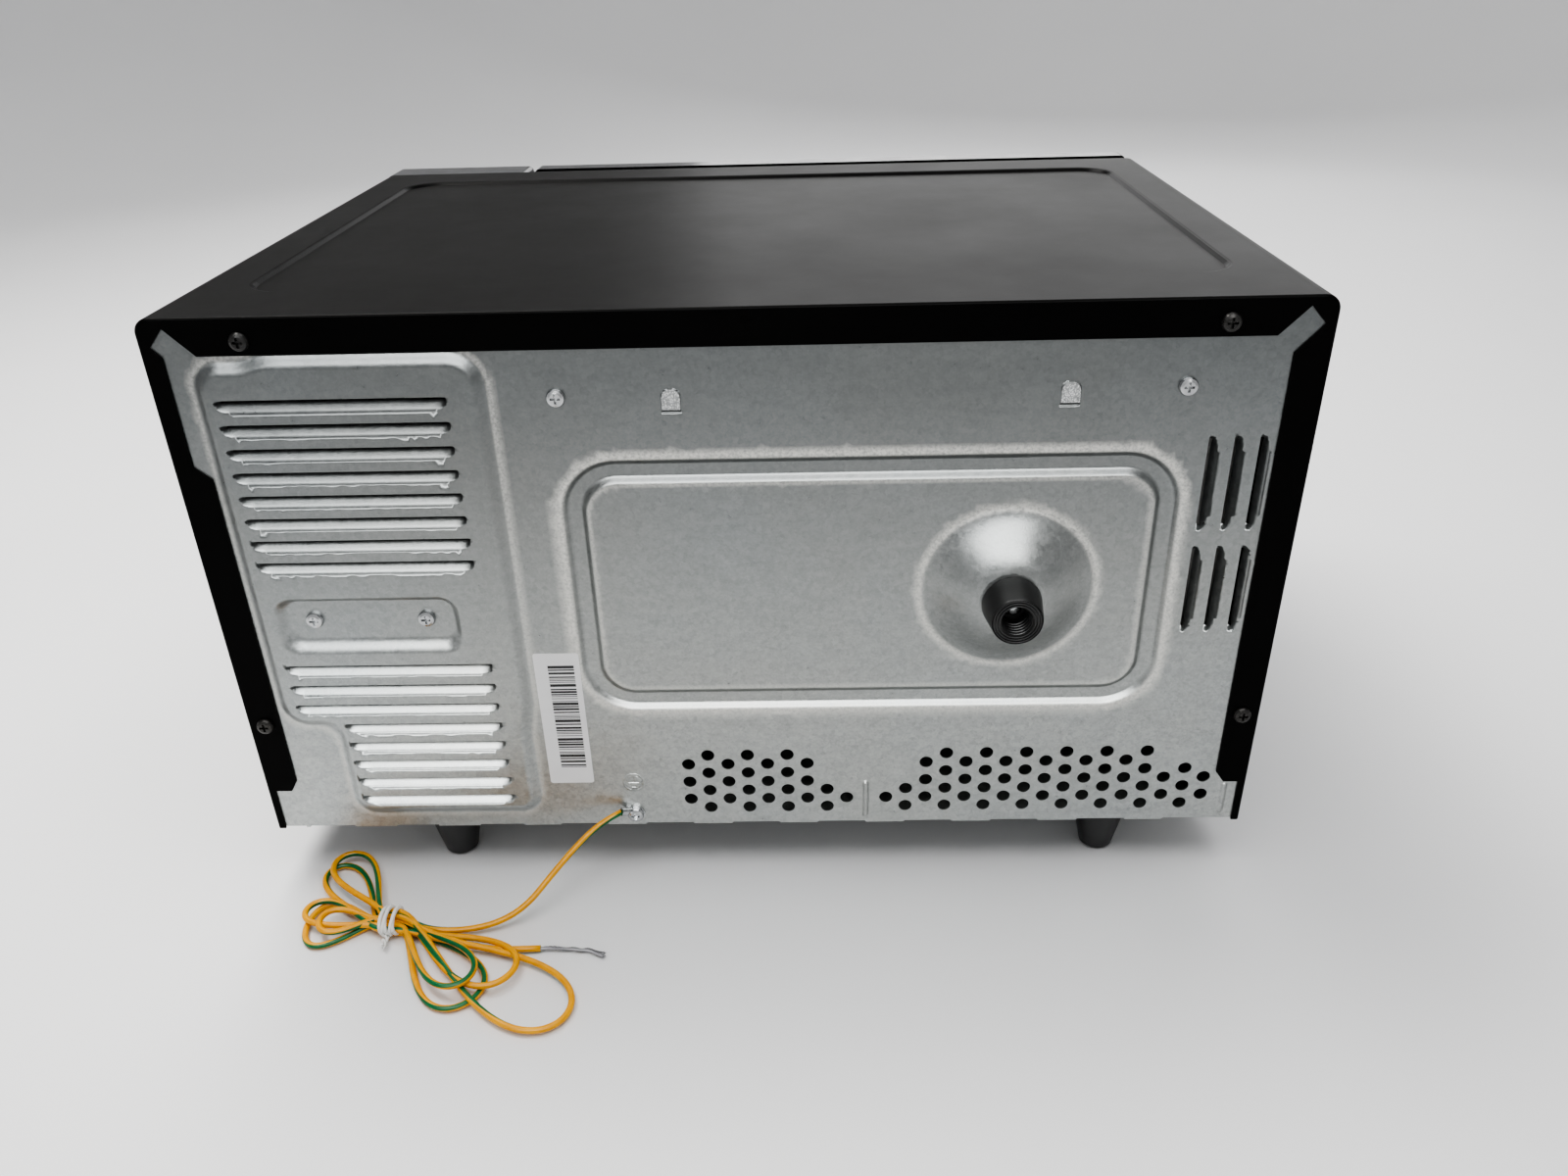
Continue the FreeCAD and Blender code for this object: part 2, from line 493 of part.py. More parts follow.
def turntable():
    centre = ("turn_x", "turn_y")
    case = rod("24", "13", (*centre, "foot_tall + 4"))
    ears = [block((f"turn_x + {x} - 6", f"turn_x + {x} + 6"), ("turn_y - 5", "turn_y + 5"),
                  ("foot_tall + 17", "cav_low - sheet")) for x in (-24, 24)]
    neck = rod("5", "cav_low - sheet - foot_tall - 17", (*centre, "foot_tall + 17"))
    keep("turntable_motor", join(case, neck, *ears))
    under_tray = "cav_low + 2 * roller_radius + 2 * roll_gap"
    hub = rod("8", f"{under_tray} - cav_low - 3", (*centre, "cav_low + 3"))
    shaft = rod("3.5", "4", (*centre, "cav_low - 0.5"))
    wings = [block(("turn_x - 16", "turn_x + 16"), ("turn_y - 3", "turn_y + 3"), ("cav_low + 6", under_tray))]
    keep("drive_coupler", join(hub, shaft, *wings))
    foot = [("0", under_tray), ("tray_radius - 12", under_tray), ("tray_radius", f"{under_tray} + 7"),
            ("tray_radius", f"{under_tray} + 11"), ("tray_radius - 3.5", f"{under_tray} + 11"),
            ("tray_radius - 14", f"{under_tray} + 5"), ("0", f"{under_tray} + 5")]
    keep("glass_tray", turned(foot, (*centre, "0")))
    middle = "cav_low + roll_gap + roller_radius"
    band = [("track_radius - 14", f"{middle} - 2"), ("track_radius - 7", f"{middle} - 2"),
            ("track_radius - 7", f"{middle} + 2"), ("track_radius - 14", f"{middle} + 2")]
    ring = turned(band, (*centre, "0"))
    stubs = []
    for number, angle in enumerate(ROLLER_ANGLES, start=1):
        way = Vector(math.cos(math.radians(angle)), math.sin(math.radians(angle)), 0)
        turn = Rotation(Vector(0, 0, 1), way)
        stub = doc.addObject("Part::Cylinder", fresh("stub"))
        wheel = doc.addObject("Part::Cylinder", fresh("wheel"))
        bore = doc.addObject("Part::Cylinder", fresh("bore"))
        for item, radius, start, length in ((stub, "1.6", "track_radius - 9", "11"),
                                            (wheel, "roller_radius", "track_radius - 5", "6"),
                                            (bore, "1.65", "track_radius - 6", "9")):
            item.setExpression("Radius", bound(radius))
            item.setExpression("Height", bound(length))
            item.Placement = Placement(Vector(), turn)
            item.setExpression("Placement.Base.x", bound(f"turn_x + ({start}) * {way.x:.6f}"))
            item.setExpression("Placement.Base.y", bound(f"turn_y + ({start}) * {way.y:.6f}"))
            item.setExpression("Placement.Base.z", bound(middle))
        stubs.append(stub)
        keep(f"ring_roller_{number}", carve(wheel, bore))
    keep("roller_ring", join(ring, *stubs))


# ---- door ----------------------------------------------------------------------------------------

def hinge_clearance():
    """The pockets that let the door swing past the hinge arms."""
    return [rod("7", "4.6", ("hinge_x", "hinge_y", f"{z} - 0.6"))
            for z in ("door_low + 12", "door_high - 16")]


def pin_holes():
    return [rod("pin_radius + pin_gap", "10", ("hinge_x", "hinge_y", z))
            for z in ("door_low + 3", "door_high - 14")]


def hook_slots():
    return [block(("hook_x - 6", "hook_x + 5"), ("door_back - 5", "door_back + 1"), (f"{z} - 8", f"{z} + 12"))
            for z in ("hook_low_z", "hook_high_z")]


def pane_hole(inset, front, back):
    return slab("xz", frame_of(f"pane_left + {inset}", f"pane_right - {inset}", f"pane_low + {inset}",
                               f"pane_high - {inset}", "10"), front, back)


def door():
    shell = slab("xz", frame_of("door_left", "door_right", "door_low", "door_high", "3"),
                 "door_front", "door_back - 3")
    soften(shell, "1.6", lambda box: box.YMax < value("door_front") + 0.01)
    hollow = block(("door_left + shell", "door_right - shell"), ("door_front + shell", "door_back"),
                   ("door_low + shell", "door_high - shell"))
    lugs = [block(("door_left + 1", "hinge_x + 4"), ("hinge_y - 4", "hinge_y"), (low, high))
            for low, high in (("door_low + 2", "door_low + 11.4"), ("door_high - 12", "door_high - 2"))]
    cut = carve(shell, hollow, pane_hole("0", "door_front - 2", "door_front + 4"))
    keep("door_panel", carve(join(cut, *lugs), *hinge_clearance(), *pin_holes()))
    front = "door_front + shell"
    keep("door_glass", block(("pane_left - 8", "pane_right + 8"), (front, f"{front} + 3.5"),
                             ("pane_low - 8", "pane_high + 8")))
    inner = ("door_left + shell + 0.3", "door_right - shell - 0.3")
    plate = block(inner, ("door_back - 3", "door_back - 2"),
                  ("door_low + shell + 0.3", "door_high - shell - 0.3"))
    rim = carve(block(("pane_left - 16", "pane_right + 16"), ("door_back - 9", "door_back - 3"),
                      ("pane_low - 16", "pane_high + 16")),
                block(("pane_left - 15", "pane_right + 15"), ("door_back - 10", "door_back - 2"),
                      ("pane_low - 15", "pane_high + 15")))
    keep("door_frame", carve(join(plate, rim), pane_hole("4", "door_back - 12", "door_back"),
                             *hinge_clearance(), *pin_holes(), *hook_slots()))
    keep("door_mesh", block(("pane_left - 6", "pane_right + 6"), ("door_back - 3.8", "door_back - 3.05"),
                            ("pane_low - 6", "pane_high + 6")))
    cover = slab("xz", frame_of("door_left + 6", "door_right - 3", "door_low + 4", "door_high - 4", "3"),
                 "door_back - 1.95", "door_back")
    keep("choke_cover", carve(cover, pane_hole("5", "door_back - 5", "door_back + 5"), *hinge_clearance(),
                              *hook_slots()))


def latch():
    """The sprung plate in the door that carries both hooks."""
    bar = block(("hook_x - hook_wide / 2", "hook_x + hook_wide / 2"), ("door_back - 10", "door_back - 5.6"),
                ("hook_low_z - 8", "hook_high_z + 8"))
    hooks = []
    for z in ("hook_low_z", "hook_high_z"):
        hooks.append(slab("yz", [("door_back - 6", f"{z} - 4"), ("frame_face + 21", f"{z} - 4"),
                                 ("frame_face + 24", f"{z} + 1"), ("frame_face + 21", f"{z} + 1"),
                                 ("frame_face + 18", f"{z} - 1"), ("frame_face + 7", f"{z} - 1"),
                                 ("frame_face + 4", f"{z} + 4"), ("door_back - 6", f"{z} + 4")],
                          "hook_x - hook_wide / 2", "hook_x + hook_wide / 2"))
    keep("latch_hooks", join(bar, *hooks))
    coil = doc.addObject("Part::Helix", fresh("helix"))
    coil.Pitch, coil.Height, coil.Radius = 2.4, 16.8, 2.6
    wire = doc.addObject("Part::Circle", fresh("circle"))
    wire.Radius = 0.35
    wire.Placement = Placement(Vector(2.6, 0, 0), Rotation(Vector(1, 0, 0), 90))
    spring = doc.addObject("Part::Sweep", fresh("sweep"))
    spring.Sections = [wire]
    spring.Spine = (coil, ["Edge1"])
    spring.Solid = True
    spring.Frenet = True
    place(spring, ("hook_x", "door_back - 8", "hook_low_z - 25.5"))
    keep("latch_spring", spring)


def switches():
    holder = block(("hook_x - 14", "hook_x - 11"), ("frame_face + 1", "frame_face + 46"),
                   ("hook_low_z - 14", "hook_high_z + 16"))
    levels = ("hook_low_z", "hook_high_z", "(hook_low_z + hook_high_z) / 2")
    shelves = [block(("hook_x - 11", "hook_x + 8"), ("frame_face + 28", "frame_face + 46"),
                     (f"{z} - 9", f"{z} - 7")) for z in levels]
    keep("switch_holder", join(holder, *shelves))
    bodies = []
    for z in levels:
        case = block(("hook_x - 10", "hook_x + 7"), ("frame_face + 29", "frame_face + 45"),
                     (f"{z} - 6.9", f"{z} + 6"))
        plunger = rod("1.5", "3", ("hook_x", "frame_face + 26.5", f"{z} - 1"), "y")
        bodies.append(join(case, plunger))
    keep("interlock_switches", group(*bodies))


# ---- control side --------------------------------------------------------------------------------

def control_panel():
    shell = slab("xz", frame_of("fascia_left", "fascia_right", "foot_tall + 1", "door_high", "3"),
                 "fascia_front", f"{FRONT} - 0.3")
    soften(shell, "1.6", lambda box: box.YMax < value("fascia_front") + 0.01)
    hollow = block(("fascia_left + shell", "fascia_right - shell"), ("fascia_front + shell", f"{FRONT} + 1"),
                   ("foot_tall + 1 + shell", "door_high - shell"))
    stems = [rod("stem_radius + 0.4", "8", ("dial_x", "fascia_front + 5", z), "-y")
             for z in ("timer_z", "power_z")]
    half_w, half_t = "(button_wide / 2 + button_gap)", "(button_tall / 2 + button_gap)"
    port = slab("xz", frame_of(f"button_x - {half_w}", f"button_x + {half_w}", f"button_z - {half_t}",
                               f"button_z + {half_t}", "5"), "fascia_front - 2", "fascia_front + 6")
    ticks = [block(("dial_x - 0.6", "dial_x + 0.6"), ("fascia_front - 1", "fascia_front + 0.5"),
                   (f"{z} + dial_radius + 3", f"{z} + dial_radius + 7")) for z in ("timer_z", "power_z")]
    keep("control_panel", carve(shell, hollow, port, *stems, *ticks))


def dials():
    """Two turned knobs, each with a pointer rib and the stem it drives."""
    back, depth = "fascia_front - 0.4", "(fascia_front - 0.4 - dial_front)"
    for name, z, radius in (("timer_dial", "timer_z", "dial_radius"),
                            ("power_dial", "power_z", "(dial_radius - 3)")):
        profile = [("0", "0"), (radius, "0"), (radius, "3"), (f"{radius} - 2", "4"),
                   (f"{radius} - 4", f"{depth} - 2.5"), (f"{radius} - 6", f"{depth} - 1"),
                   ("0", f"{depth} - 1")]
        knob = turned(profile, ("dial_x", back, z), "-y")
        rib = block(("dial_x - 2", "dial_x + 2"), ("dial_front", f"{back} - 5"),
                    (f"{z} - {radius} + 5", f"{z} + {radius} - 5"))
        stem = rod("stem_radius", "22.4", ("dial_x", back, z), "y")
        keep(name, join(knob, rib, stem))


def control_gear():
    """The timer and power switch blocks behind the two dials, and the door-release button."""
    case_front = f"({FRONT} - 2.5)"
    for name, z, deep in (("timer_unit", "timer_z", "36"), ("power_switch", "power_z", "26")):
        case_back = f"({case_front} + {deep})"
        case = block(("dial_x - 24", "dial_x + 24"), (case_front, case_back), (f"{z} - 21", f"{z} + 21"))
        ears = [block((f"dial_x + {x} - 4", f"dial_x + {x} + 4"), ("fascia_front + shell", case_front),
                      (f"{z} - 4", f"{z} + 4")) for x in (-18, 18)]
        terminals = [block((f"dial_x + {x} - 3", f"dial_x + {x} + 3"), (case_back, f"{case_back} + 8"),
                           (f"{z} + 8", f"{z} + 8.8")) for x in (-14, 0, 14)]
        keep(name, join(case, *ears, *terminals))
    half_w, half_t = "button_wide / 2", "button_tall / 2"
    cap = slab("xz", frame_of(f"button_x - {half_w}", f"button_x + {half_w}", f"button_z - {half_t}",
                              f"button_z + {half_t}", "4.5"), "fascia_front - 1.2", "fascia_front + 5")
    soften(cap, "1.1", lambda box: box.YMax < value("fascia_front - 1.2") + 0.01)
    flange = block((f"button_x - {half_w} - 2", f"button_x + {half_w} + 2"),
                   ("fascia_front + 2.8", "fascia_front + 5"),
                   (f"button_z - {half_t} - 2", f"button_z + {half_t} + 2"))
    stem = block(("button_x - 6", "button_x + 6"), ("fascia_front + 5", f"{FRONT} + 6"),
                 ("button_z - 4", "button_z + 4"))
    keep("release_button", join(cap, flange, stem))


# ---- machinery in the right-hand compartment -----------------------------------------------------

def transformer():
    core = block(("126", "202"), ("0 - 108", "0 - 52"), ("foot_tall + 1", "foot_tall + 77"))
    windows = [block((left, right), ("0 - 110", "0 - 50"), ("foot_tall + 19", "foot_tall + 59"))
               for left, right in (("140", "156"), ("172", "188"))]
    keep("transformer_core", carve(core, *windows))
    coil = slab("xy", frame_of("140.5", "187.5", "0 - 126", "0 - 34", "6"),
                "foot_tall + 20", "foot_tall + 58")
    keep("transformer_coils", carve(coil, block(("155.8", "172.2"), ("0 - 108.2", "0 - 51.8"),
                                                ("foot_tall + 10", "foot_tall + 70"))))
    can = slab("xy", frame_of("112", "166", "0 - 32", "4", "17"), "foot_tall + 1", "foot_tall + 82")
    terminals = [block((f"{x} - 3", f"{x} + 3"), ("0 - 15", "0 - 14"), ("foot_tall + 82", "foot_tall + 92"))
                 for x in (126, 152)]
    keep("capacitor", join(can, *terminals))
    diode = rod("3.5", "20", ("184", "0 - 28", "foot_tall + 4.6"), "y")
    lead = rod("0.6", "32", ("184", "0 - 34", "foot_tall + 4.6"), "y")
    lug = block(("180", "188"), ("0 - 36", "0 - 33"), ("foot_tall + 1", "foot_tall + 6"))
    keep("high_voltage_diode", join(diode, lead, lug))


def magnetron():
    y, z = "magnetron_y", "magnetron_z"
    plates = [block((left, right), (f"{y} - 38", f"{y} + 38"), (f"{z} - 34", f"{z} + 34"))
              for left, right in (("108.3", "110.3"), ("160", "162"))]
    ends = [block(("108.3", "162"), (f"{y} - 38", f"{y} + 38"), (f"{z} + {low}", f"{z} + {low} + 2"))
            for low in (-34, 32)]
    anode = rod("18", "52", ("109", y, z), "x")
    box = block(("162", "196"), (f"{y} - 26", f"{y} + 26"), (f"{z} - 22", f"{z} + 22"))
    hole = rod("9.5", "4", ("107", y, z), "x")
    keep("magnetron_body", carve(join(*plates, *ends, anode, box), hole))
    fins = [carve(block((f"{x}", f"{x} + 0.8"), (f"{y} - 35", f"{y} + 35"), (f"{z} - 31.8", f"{z} + 31.8")),
                  rod("18.1", "4", (f"{x} - 1", y, z), "x")) for x in range(116, 158, 7)]
    keep("magnetron_fins", group(*fins))
    tip = rod("9.3", "22", ("109", y, z), "-x")
    keep("magnetron_antenna", tip)


def cooling_fan():
    x, y, z = "fan_x", "fan_y", "fan_z"
    plate = block(("98", "218"), (f"{y} + 16", f"{y} + 17.5"), (f"{z} - 62", f"{z} + 58"))
    duct = rod("fan_radius + 4", "20", (x, f"{y} - 2", z), "y")
    bore = rod("fan_radius + 2.5", "40", (x, f"{y} - 10", z), "y")
    struts = [block((f"{x} + {side} - 2.5", f"{x} + {side} + 2.5"), (f"{y} - 12", f"{y} - 1.5"),
                    (f"{z} - 3", f"{z} + 3")) for side in (-50.7, 50.7)]
    bar = block((f"{x} - 53.2", f"{x} + 53.2"), (f"{y} - 14", f"{y} - 12"), (f"{z} - 6", f"{z} + 6"))
    bearing = rod("3.4", "6", (x, f"{y} - 16", z), "y")
    keep("fan_shroud", join(carve(join(plate, duct), bore), *struts, carve(bar, bearing)))
    case = block((f"{x} - 22", f"{x} + 22"), (f"{y} - 40", f"{y} - 14"), (f"{z} - 20", f"{z} + 20"))
    keep("fan_motor", carve(case, rod("2.6", "12", (x, f"{y} - 24", z), "y")))
    hub = rod("9", "11", (x, f"{y} - 4", z), "y")
    shaft = rod("2.5", "16", (x, f"{y} - 20", z), "y")
    blades = []
    blade_root = Placement(Vector(8.6, 7.0, -5.7), Rotation(Vector(1, 0, 0), 55))
    for k in range(5):
        blade = doc.addObject("Part::Box", fresh("blade"))
        blade.setExpression("Length", bound("fan_radius - 8.6"))
        blade.Width = 1.2
        blade.Height = 18
        spin = Rotation(Vector(0, 1, 0), 72 * k)
        hub_centre = Placement(Vector(value(x), value(f"{y} + 1.5"), value(z)), spin)
        blade.Placement = hub_centre * blade_root
        blades.append(blade)
    keep("fan_blade", join(join(hub, shaft), *blades))


def small_parts():
    def lamp_box(reach, half):
        return block(("cav_right + sheet", f"cav_right + {reach}"), (f"lamp_y - {half}", f"lamp_y + {half}"),
                     (f"lamp_z - {half}", f"lamp_z + {half}"))

    holder = carve(lamp_box("26", "12"), lamp_box("24", "11"))
    keep("lamp_holder", holder)
    bulb = [("0", "0"), ("5", "0"), ("5", "5"), ("8", "9"), ("8", "15"), ("5", "20"), ("0", "21")]
    keep("cavity_lamp", turned(bulb, ("cav_right + 24", "lamp_y", "lamp_z"), "-x"))
    cutout_spots = (("cav_right + sheet", "0 - 85", "200", "x"), ("0 - 30", "60", "cav_high + sheet", "z"))
    discs = [join(rod("8", "5", (x, y, z), aim), rod("4", "9", (x, y, z), aim))
             for x, y, z, aim in cutout_spots]
    keep("thermal_cutouts", group(*discs))
    board = block(("112", "196"), ("64", "146"), ("foot_tall + 12", "foot_tall + 13.6"))
    posts = [rod("3", "11", (x, y, "foot_tall + 1")) for x in ("117", "191") for y in ("69", "141")]
    choke = carve(rod("14", "12", ("134", "90", "foot_tall + 13.6")),
                  rod("7", "20", ("134", "90", "foot_tall + 13")))
    fuse = rod("3", "26", ("158", "82", "foot_tall + 17"), "x")
    clips = [block((f"{x}", f"{x} + 4"), ("78.5", "85.5"), ("foot_tall + 13.6", "foot_tall + 19"))
             for x in (159, 179)]
    film = block(("152", "184"), ("104", "116"), ("foot_tall + 13.6", "foot_tall + 33"))
    relay = block(("118", "140"), ("116", "134"), ("foot_tall + 13.6", "foot_tall + 30"))
    keep("filter_board", join(board, *posts, choke, fuse, *clips, film, relay))
    bush = [("4", "0 - 4"), ("10", "0 - 4"), ("10", "0"), ("8", "0"),
            ("8", "1"), ("10", "1"), ("10", "5"), ("4", "5")]
    keep("cord_bushing", turned(bush, ("205", "130", "foot_tall")))


# ---- rear fittings -------------------------------------------------------------------------------

def pan_screw(x, seat, z):
    """A pan-head screw with a crossed drive, seated on the rear face at `seat`."""
    head = [("0", "0 - screw_long"), ("screw_shank", "0 - screw_long"), ("screw_shank", "0"),
            ("screw_head", "0"), ("screw_head", "screw_rise * 0.45"),
            ("screw_head * 0.88", "screw_rise * 0.8"),
            ("screw_head * 0.6", "screw_rise"), ("0", "screw_rise")]
    at = (x, seat, f"foot_tall + {z}")
    slots = [block((f"{x} - {a}", f"{x} + {a}"), (f"{seat} + screw_rise * 0.4", f"{seat} + 5"),
                   (f"foot_tall + {z} - {b}", f"foot_tall + {z} + {b}")) for a, b in ((2, 0.5), (0.5, 2))]
    return carve(turned(head, at, "y"), *slots)


def rear_fittings():
    keep("cabinet_screws", group(*[pan_screw(x, "rear_y", z) for x, z in CABINET_SCREWS]))
    silver = [pan_screw(x, PLATE_OUT, z) for x, z in PANEL_SCREWS]
    silver += [pan_screw(x, f"{PLATE_OUT} + bay_rise - pocket_sink", z) for x, z in POCKET_SCREWS]
    keep("rear_screws", group(*silver))
    root = f"{PLATE_OUT} + cone_rise"
    long = f"(rear_y + standoff_end - ({root}))"
    tube = [("2", "0 - 6"), ("4", "0 - 6"), ("4", "0"), ("standoff_root", "0"), ("standoff_root", "1"),
            ("standoff_tip", long), ("standoff_tip - 0.8", long), ("standoff_tip - 0.8", f"{long} - 0.6"),
            ("standoff_tip - 1.8", f"{long} - 0.6"), ("standoff_tip - 1.8", long), ("standoff_bore", long),
            ("standoff_bore", "3"), ("2", "3")]
    keep("rear_standoff", turned(tube, ("cone_x", root, "foot_tall + cone_z"), "y"))
    keep("barcode_label", block(("72.5", "92.5"), (PLATE_OUT, f"{PLATE_OUT} + 0.2"),
                                ("foot_tall + 24.7", "foot_tall + 94.6")))
    keep("earth_screw", pan_screw(EARTH_X, f"{PLATE_OUT} + 1", EARTH_Z))


# The earth lead: from its crimp, down to the supporting surface, and along it to the tied hank.
EARTH_ROUTE = [(60.8, 163.2, 35.4), (69.5, 167.2, 33.0), (80.5, 174.8, 25.8), (92.0, 185.0, 16.4),
               (101.5, 194.8, 8.4), (113.5, 201.2, 4.0), (129.0, 204.4, 2.6), (144.5, 204.6, 3.4)]
HANK_OUTLINE = [(157, 196), (157, 205), (146, 212), (134, 232), (124, 247), (108, 252), (92, 261), (80, 260),
                (71, 248), (72, 236), (80, 224), (91, 217), (110, 212), (130, 206), (144, 200), (150, 196)]
HANK_TAIL_OUTLINE = [(166, 196), (178, 176), (190, 160), (200, 158), (204, 166), (200, 182), (205, 188),
                     (203, 204), (194, 217), (184, 216), (174, 208), (166, 206)]
TAIL_ROUTE = [(92, 214.6, 2.6), (80, 214.9, 2.4), (71, 215.2, 2.2), (63.5, 218.6, 2.6)]
BUNDLE_Y = (196, 205)


def tube_path(points):
    """Straight runs joined by tangent arcs, each as large as its two runs allow."""
    spots = [Vector(*point) for point in points]
    edges, start, radii = [], spots[0], []
    for before, corner, after in zip(spots, spots[1:], spots[2:]):
        arrive, leave = corner - before, after - corner
        half = arrive.getAngle(leave) / 2
        reach = 0.45 * min(arrive.Length, leave.Length)
        radii.append(reach / math.tan(half))
        first = corner - arrive.normalize() * reach
        last = corner + leave.normalize() * reach
        inward = (leave - arrive).normalize()
        middle = corner + inward * (radii[-1] / math.cos(half) - radii[-1])
        edges += [Part.LineSegment(start, first), Part.Arc(first, middle, last)]
        start = last
    edges.append(Part.LineSegment(start, spots[-1]))
    return Part.Wire([edge.toShape() for edge in edges]), radii


def tube(points, radius, word):
    """A round tube along a path, with its volume compared with section times length."""
    path, radii = tube_path(points)
    first = path.Edges[0]
    circle = Part.Circle(first.valueAt(first.FirstParameter), first.tangentAt(first.FirstParameter), radius)
    solid = path.makePipeShell([Part.Wire([circle.toShape()])], True, False)
    expected = math.pi * radius ** 2 * path.Length
    print(f"{word}: length {path.Length:.1f}, radii {[round(r, 1) for r in radii]}, "
          f"volume ratio {solid.Volume / expected:.4f}")
    item = doc.addObject("Part::Feature", fresh("tube"))
    item.Shape = solid
    return item


def earth_lead():
    radius = value("wire_thick / 2")
    keep("earth_wire_lead", tube(EARTH_ROUTE, radius, "earth lead"))
    low, high = BUNDLE_Y
    tie = carve(block(("157", "166"), (f"{low} - 3", f"{high} + 3"), ("0", "hank_tall")),
                block(("156", "167"), (low, high), ("1", "hank_tall - 1")))
    keep("wire_tie", tie)
    lobes = [slab("xy", [(str(x), str(y)) for x, y in outline], "0", "hank_tall")
             for outline in (HANK_OUTLINE, HANK_TAIL_OUTLINE)]
    waist = block(("157", "166"), (low, high), ("1", "hank_tall - 1"))
    keep("earth_wire_hank", join(*lobes, waist))
    keep("bare_strands", tube(TAIL_ROUTE, radius * 0.72, "bare strands"))
    ring = carve(rod("4.2", "1", (EARTH_X, PLATE_OUT, f"foot_tall + {EARTH_Z}"), "y"),
                 rod("screw_hole", "5", (EARTH_X, f"{PLATE_OUT} - 2", f"foot_tall + {EARTH_Z}"), "y"))
    neck = doc.addObject("Part::Box", fresh("neck"))
    neck.Length, neck.Width, neck.Height = 3.2, 1, 4
    neck.Placement = Placement(Vector(57.4, value(PLATE_OUT), 31.0), Rotation(Vector(0, 1, 0), -25))
    crimp = doc.addObject("Part::Cylinder", fresh("crimp"))
    crimp.setExpression("Radius", bound("wire_thick / 2 + 0.5"))
    start, end = Vector(56.6, 161.0, 33.8), Vector(*EARTH_ROUTE[0])
    crimp.Height = (end - start).Length
    crimp.Placement = Placement(start, Rotation(Vector(0, 0, 1), end - start))
    head_room = rod("screw_head + 0.1", "6", (EARTH_X, f"{PLATE_OUT} + 1", f"foot_tall + {EARTH_Z}"), "y")
    keep("earth_terminal", carve(join(ring, neck, crimp), head_room))


for build in (outer_cabinet, rear_panel, base_plate, feet, cavity_liner, front_frame, hinges, turntable, door,
              latch, switches, control_panel, dials, control_gear, transformer, magnetron, cooling_fan,
              small_parts, rear_fittings, earth_lead):
    build()
doc.recompute()

faults = [f"{item.Name}: {item.State}" for item in doc.Objects
          if "Invalid" in item.State or "Error" in item.State]
for name, item in nodes.items():
    shape = item.Shape
    if shape.isNull() or not shape.isValid() or not shape.Solids:
        faults.append(f"{name}: no sound shape")
if faults:
    raise RuntimeError("\n".join(faults))

os.makedirs("parts", exist_ok=True)
for name, item in nodes.items():
    item.Shape.exportStep(f"parts/{name}.step")
    print(f"{name}: {len(item.Shape.Solids)} solids, volume {item.Shape.Volume:.0f}")
print(len(nodes), "nodes")
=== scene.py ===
import json
import math

import bmesh
import bpy
import numpy as np
from mathutils import Matrix, Vector


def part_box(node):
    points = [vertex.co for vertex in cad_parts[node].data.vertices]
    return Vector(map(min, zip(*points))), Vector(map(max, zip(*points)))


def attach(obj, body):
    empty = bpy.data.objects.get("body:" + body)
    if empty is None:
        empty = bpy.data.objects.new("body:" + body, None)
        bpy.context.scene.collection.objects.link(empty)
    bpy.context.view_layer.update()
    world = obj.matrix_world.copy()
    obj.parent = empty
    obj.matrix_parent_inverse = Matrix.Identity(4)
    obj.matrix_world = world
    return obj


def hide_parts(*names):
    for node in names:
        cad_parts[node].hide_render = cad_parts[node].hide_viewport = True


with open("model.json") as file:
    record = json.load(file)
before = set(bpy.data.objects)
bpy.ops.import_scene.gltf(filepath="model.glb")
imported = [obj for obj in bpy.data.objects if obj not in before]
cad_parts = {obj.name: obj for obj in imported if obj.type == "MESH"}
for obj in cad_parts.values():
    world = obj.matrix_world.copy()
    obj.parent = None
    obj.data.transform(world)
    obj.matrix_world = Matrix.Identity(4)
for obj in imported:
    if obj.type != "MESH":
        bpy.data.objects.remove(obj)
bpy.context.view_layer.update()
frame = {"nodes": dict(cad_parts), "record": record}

MM = 0.001
NODES = frame["nodes"]

# ---- material helpers ----


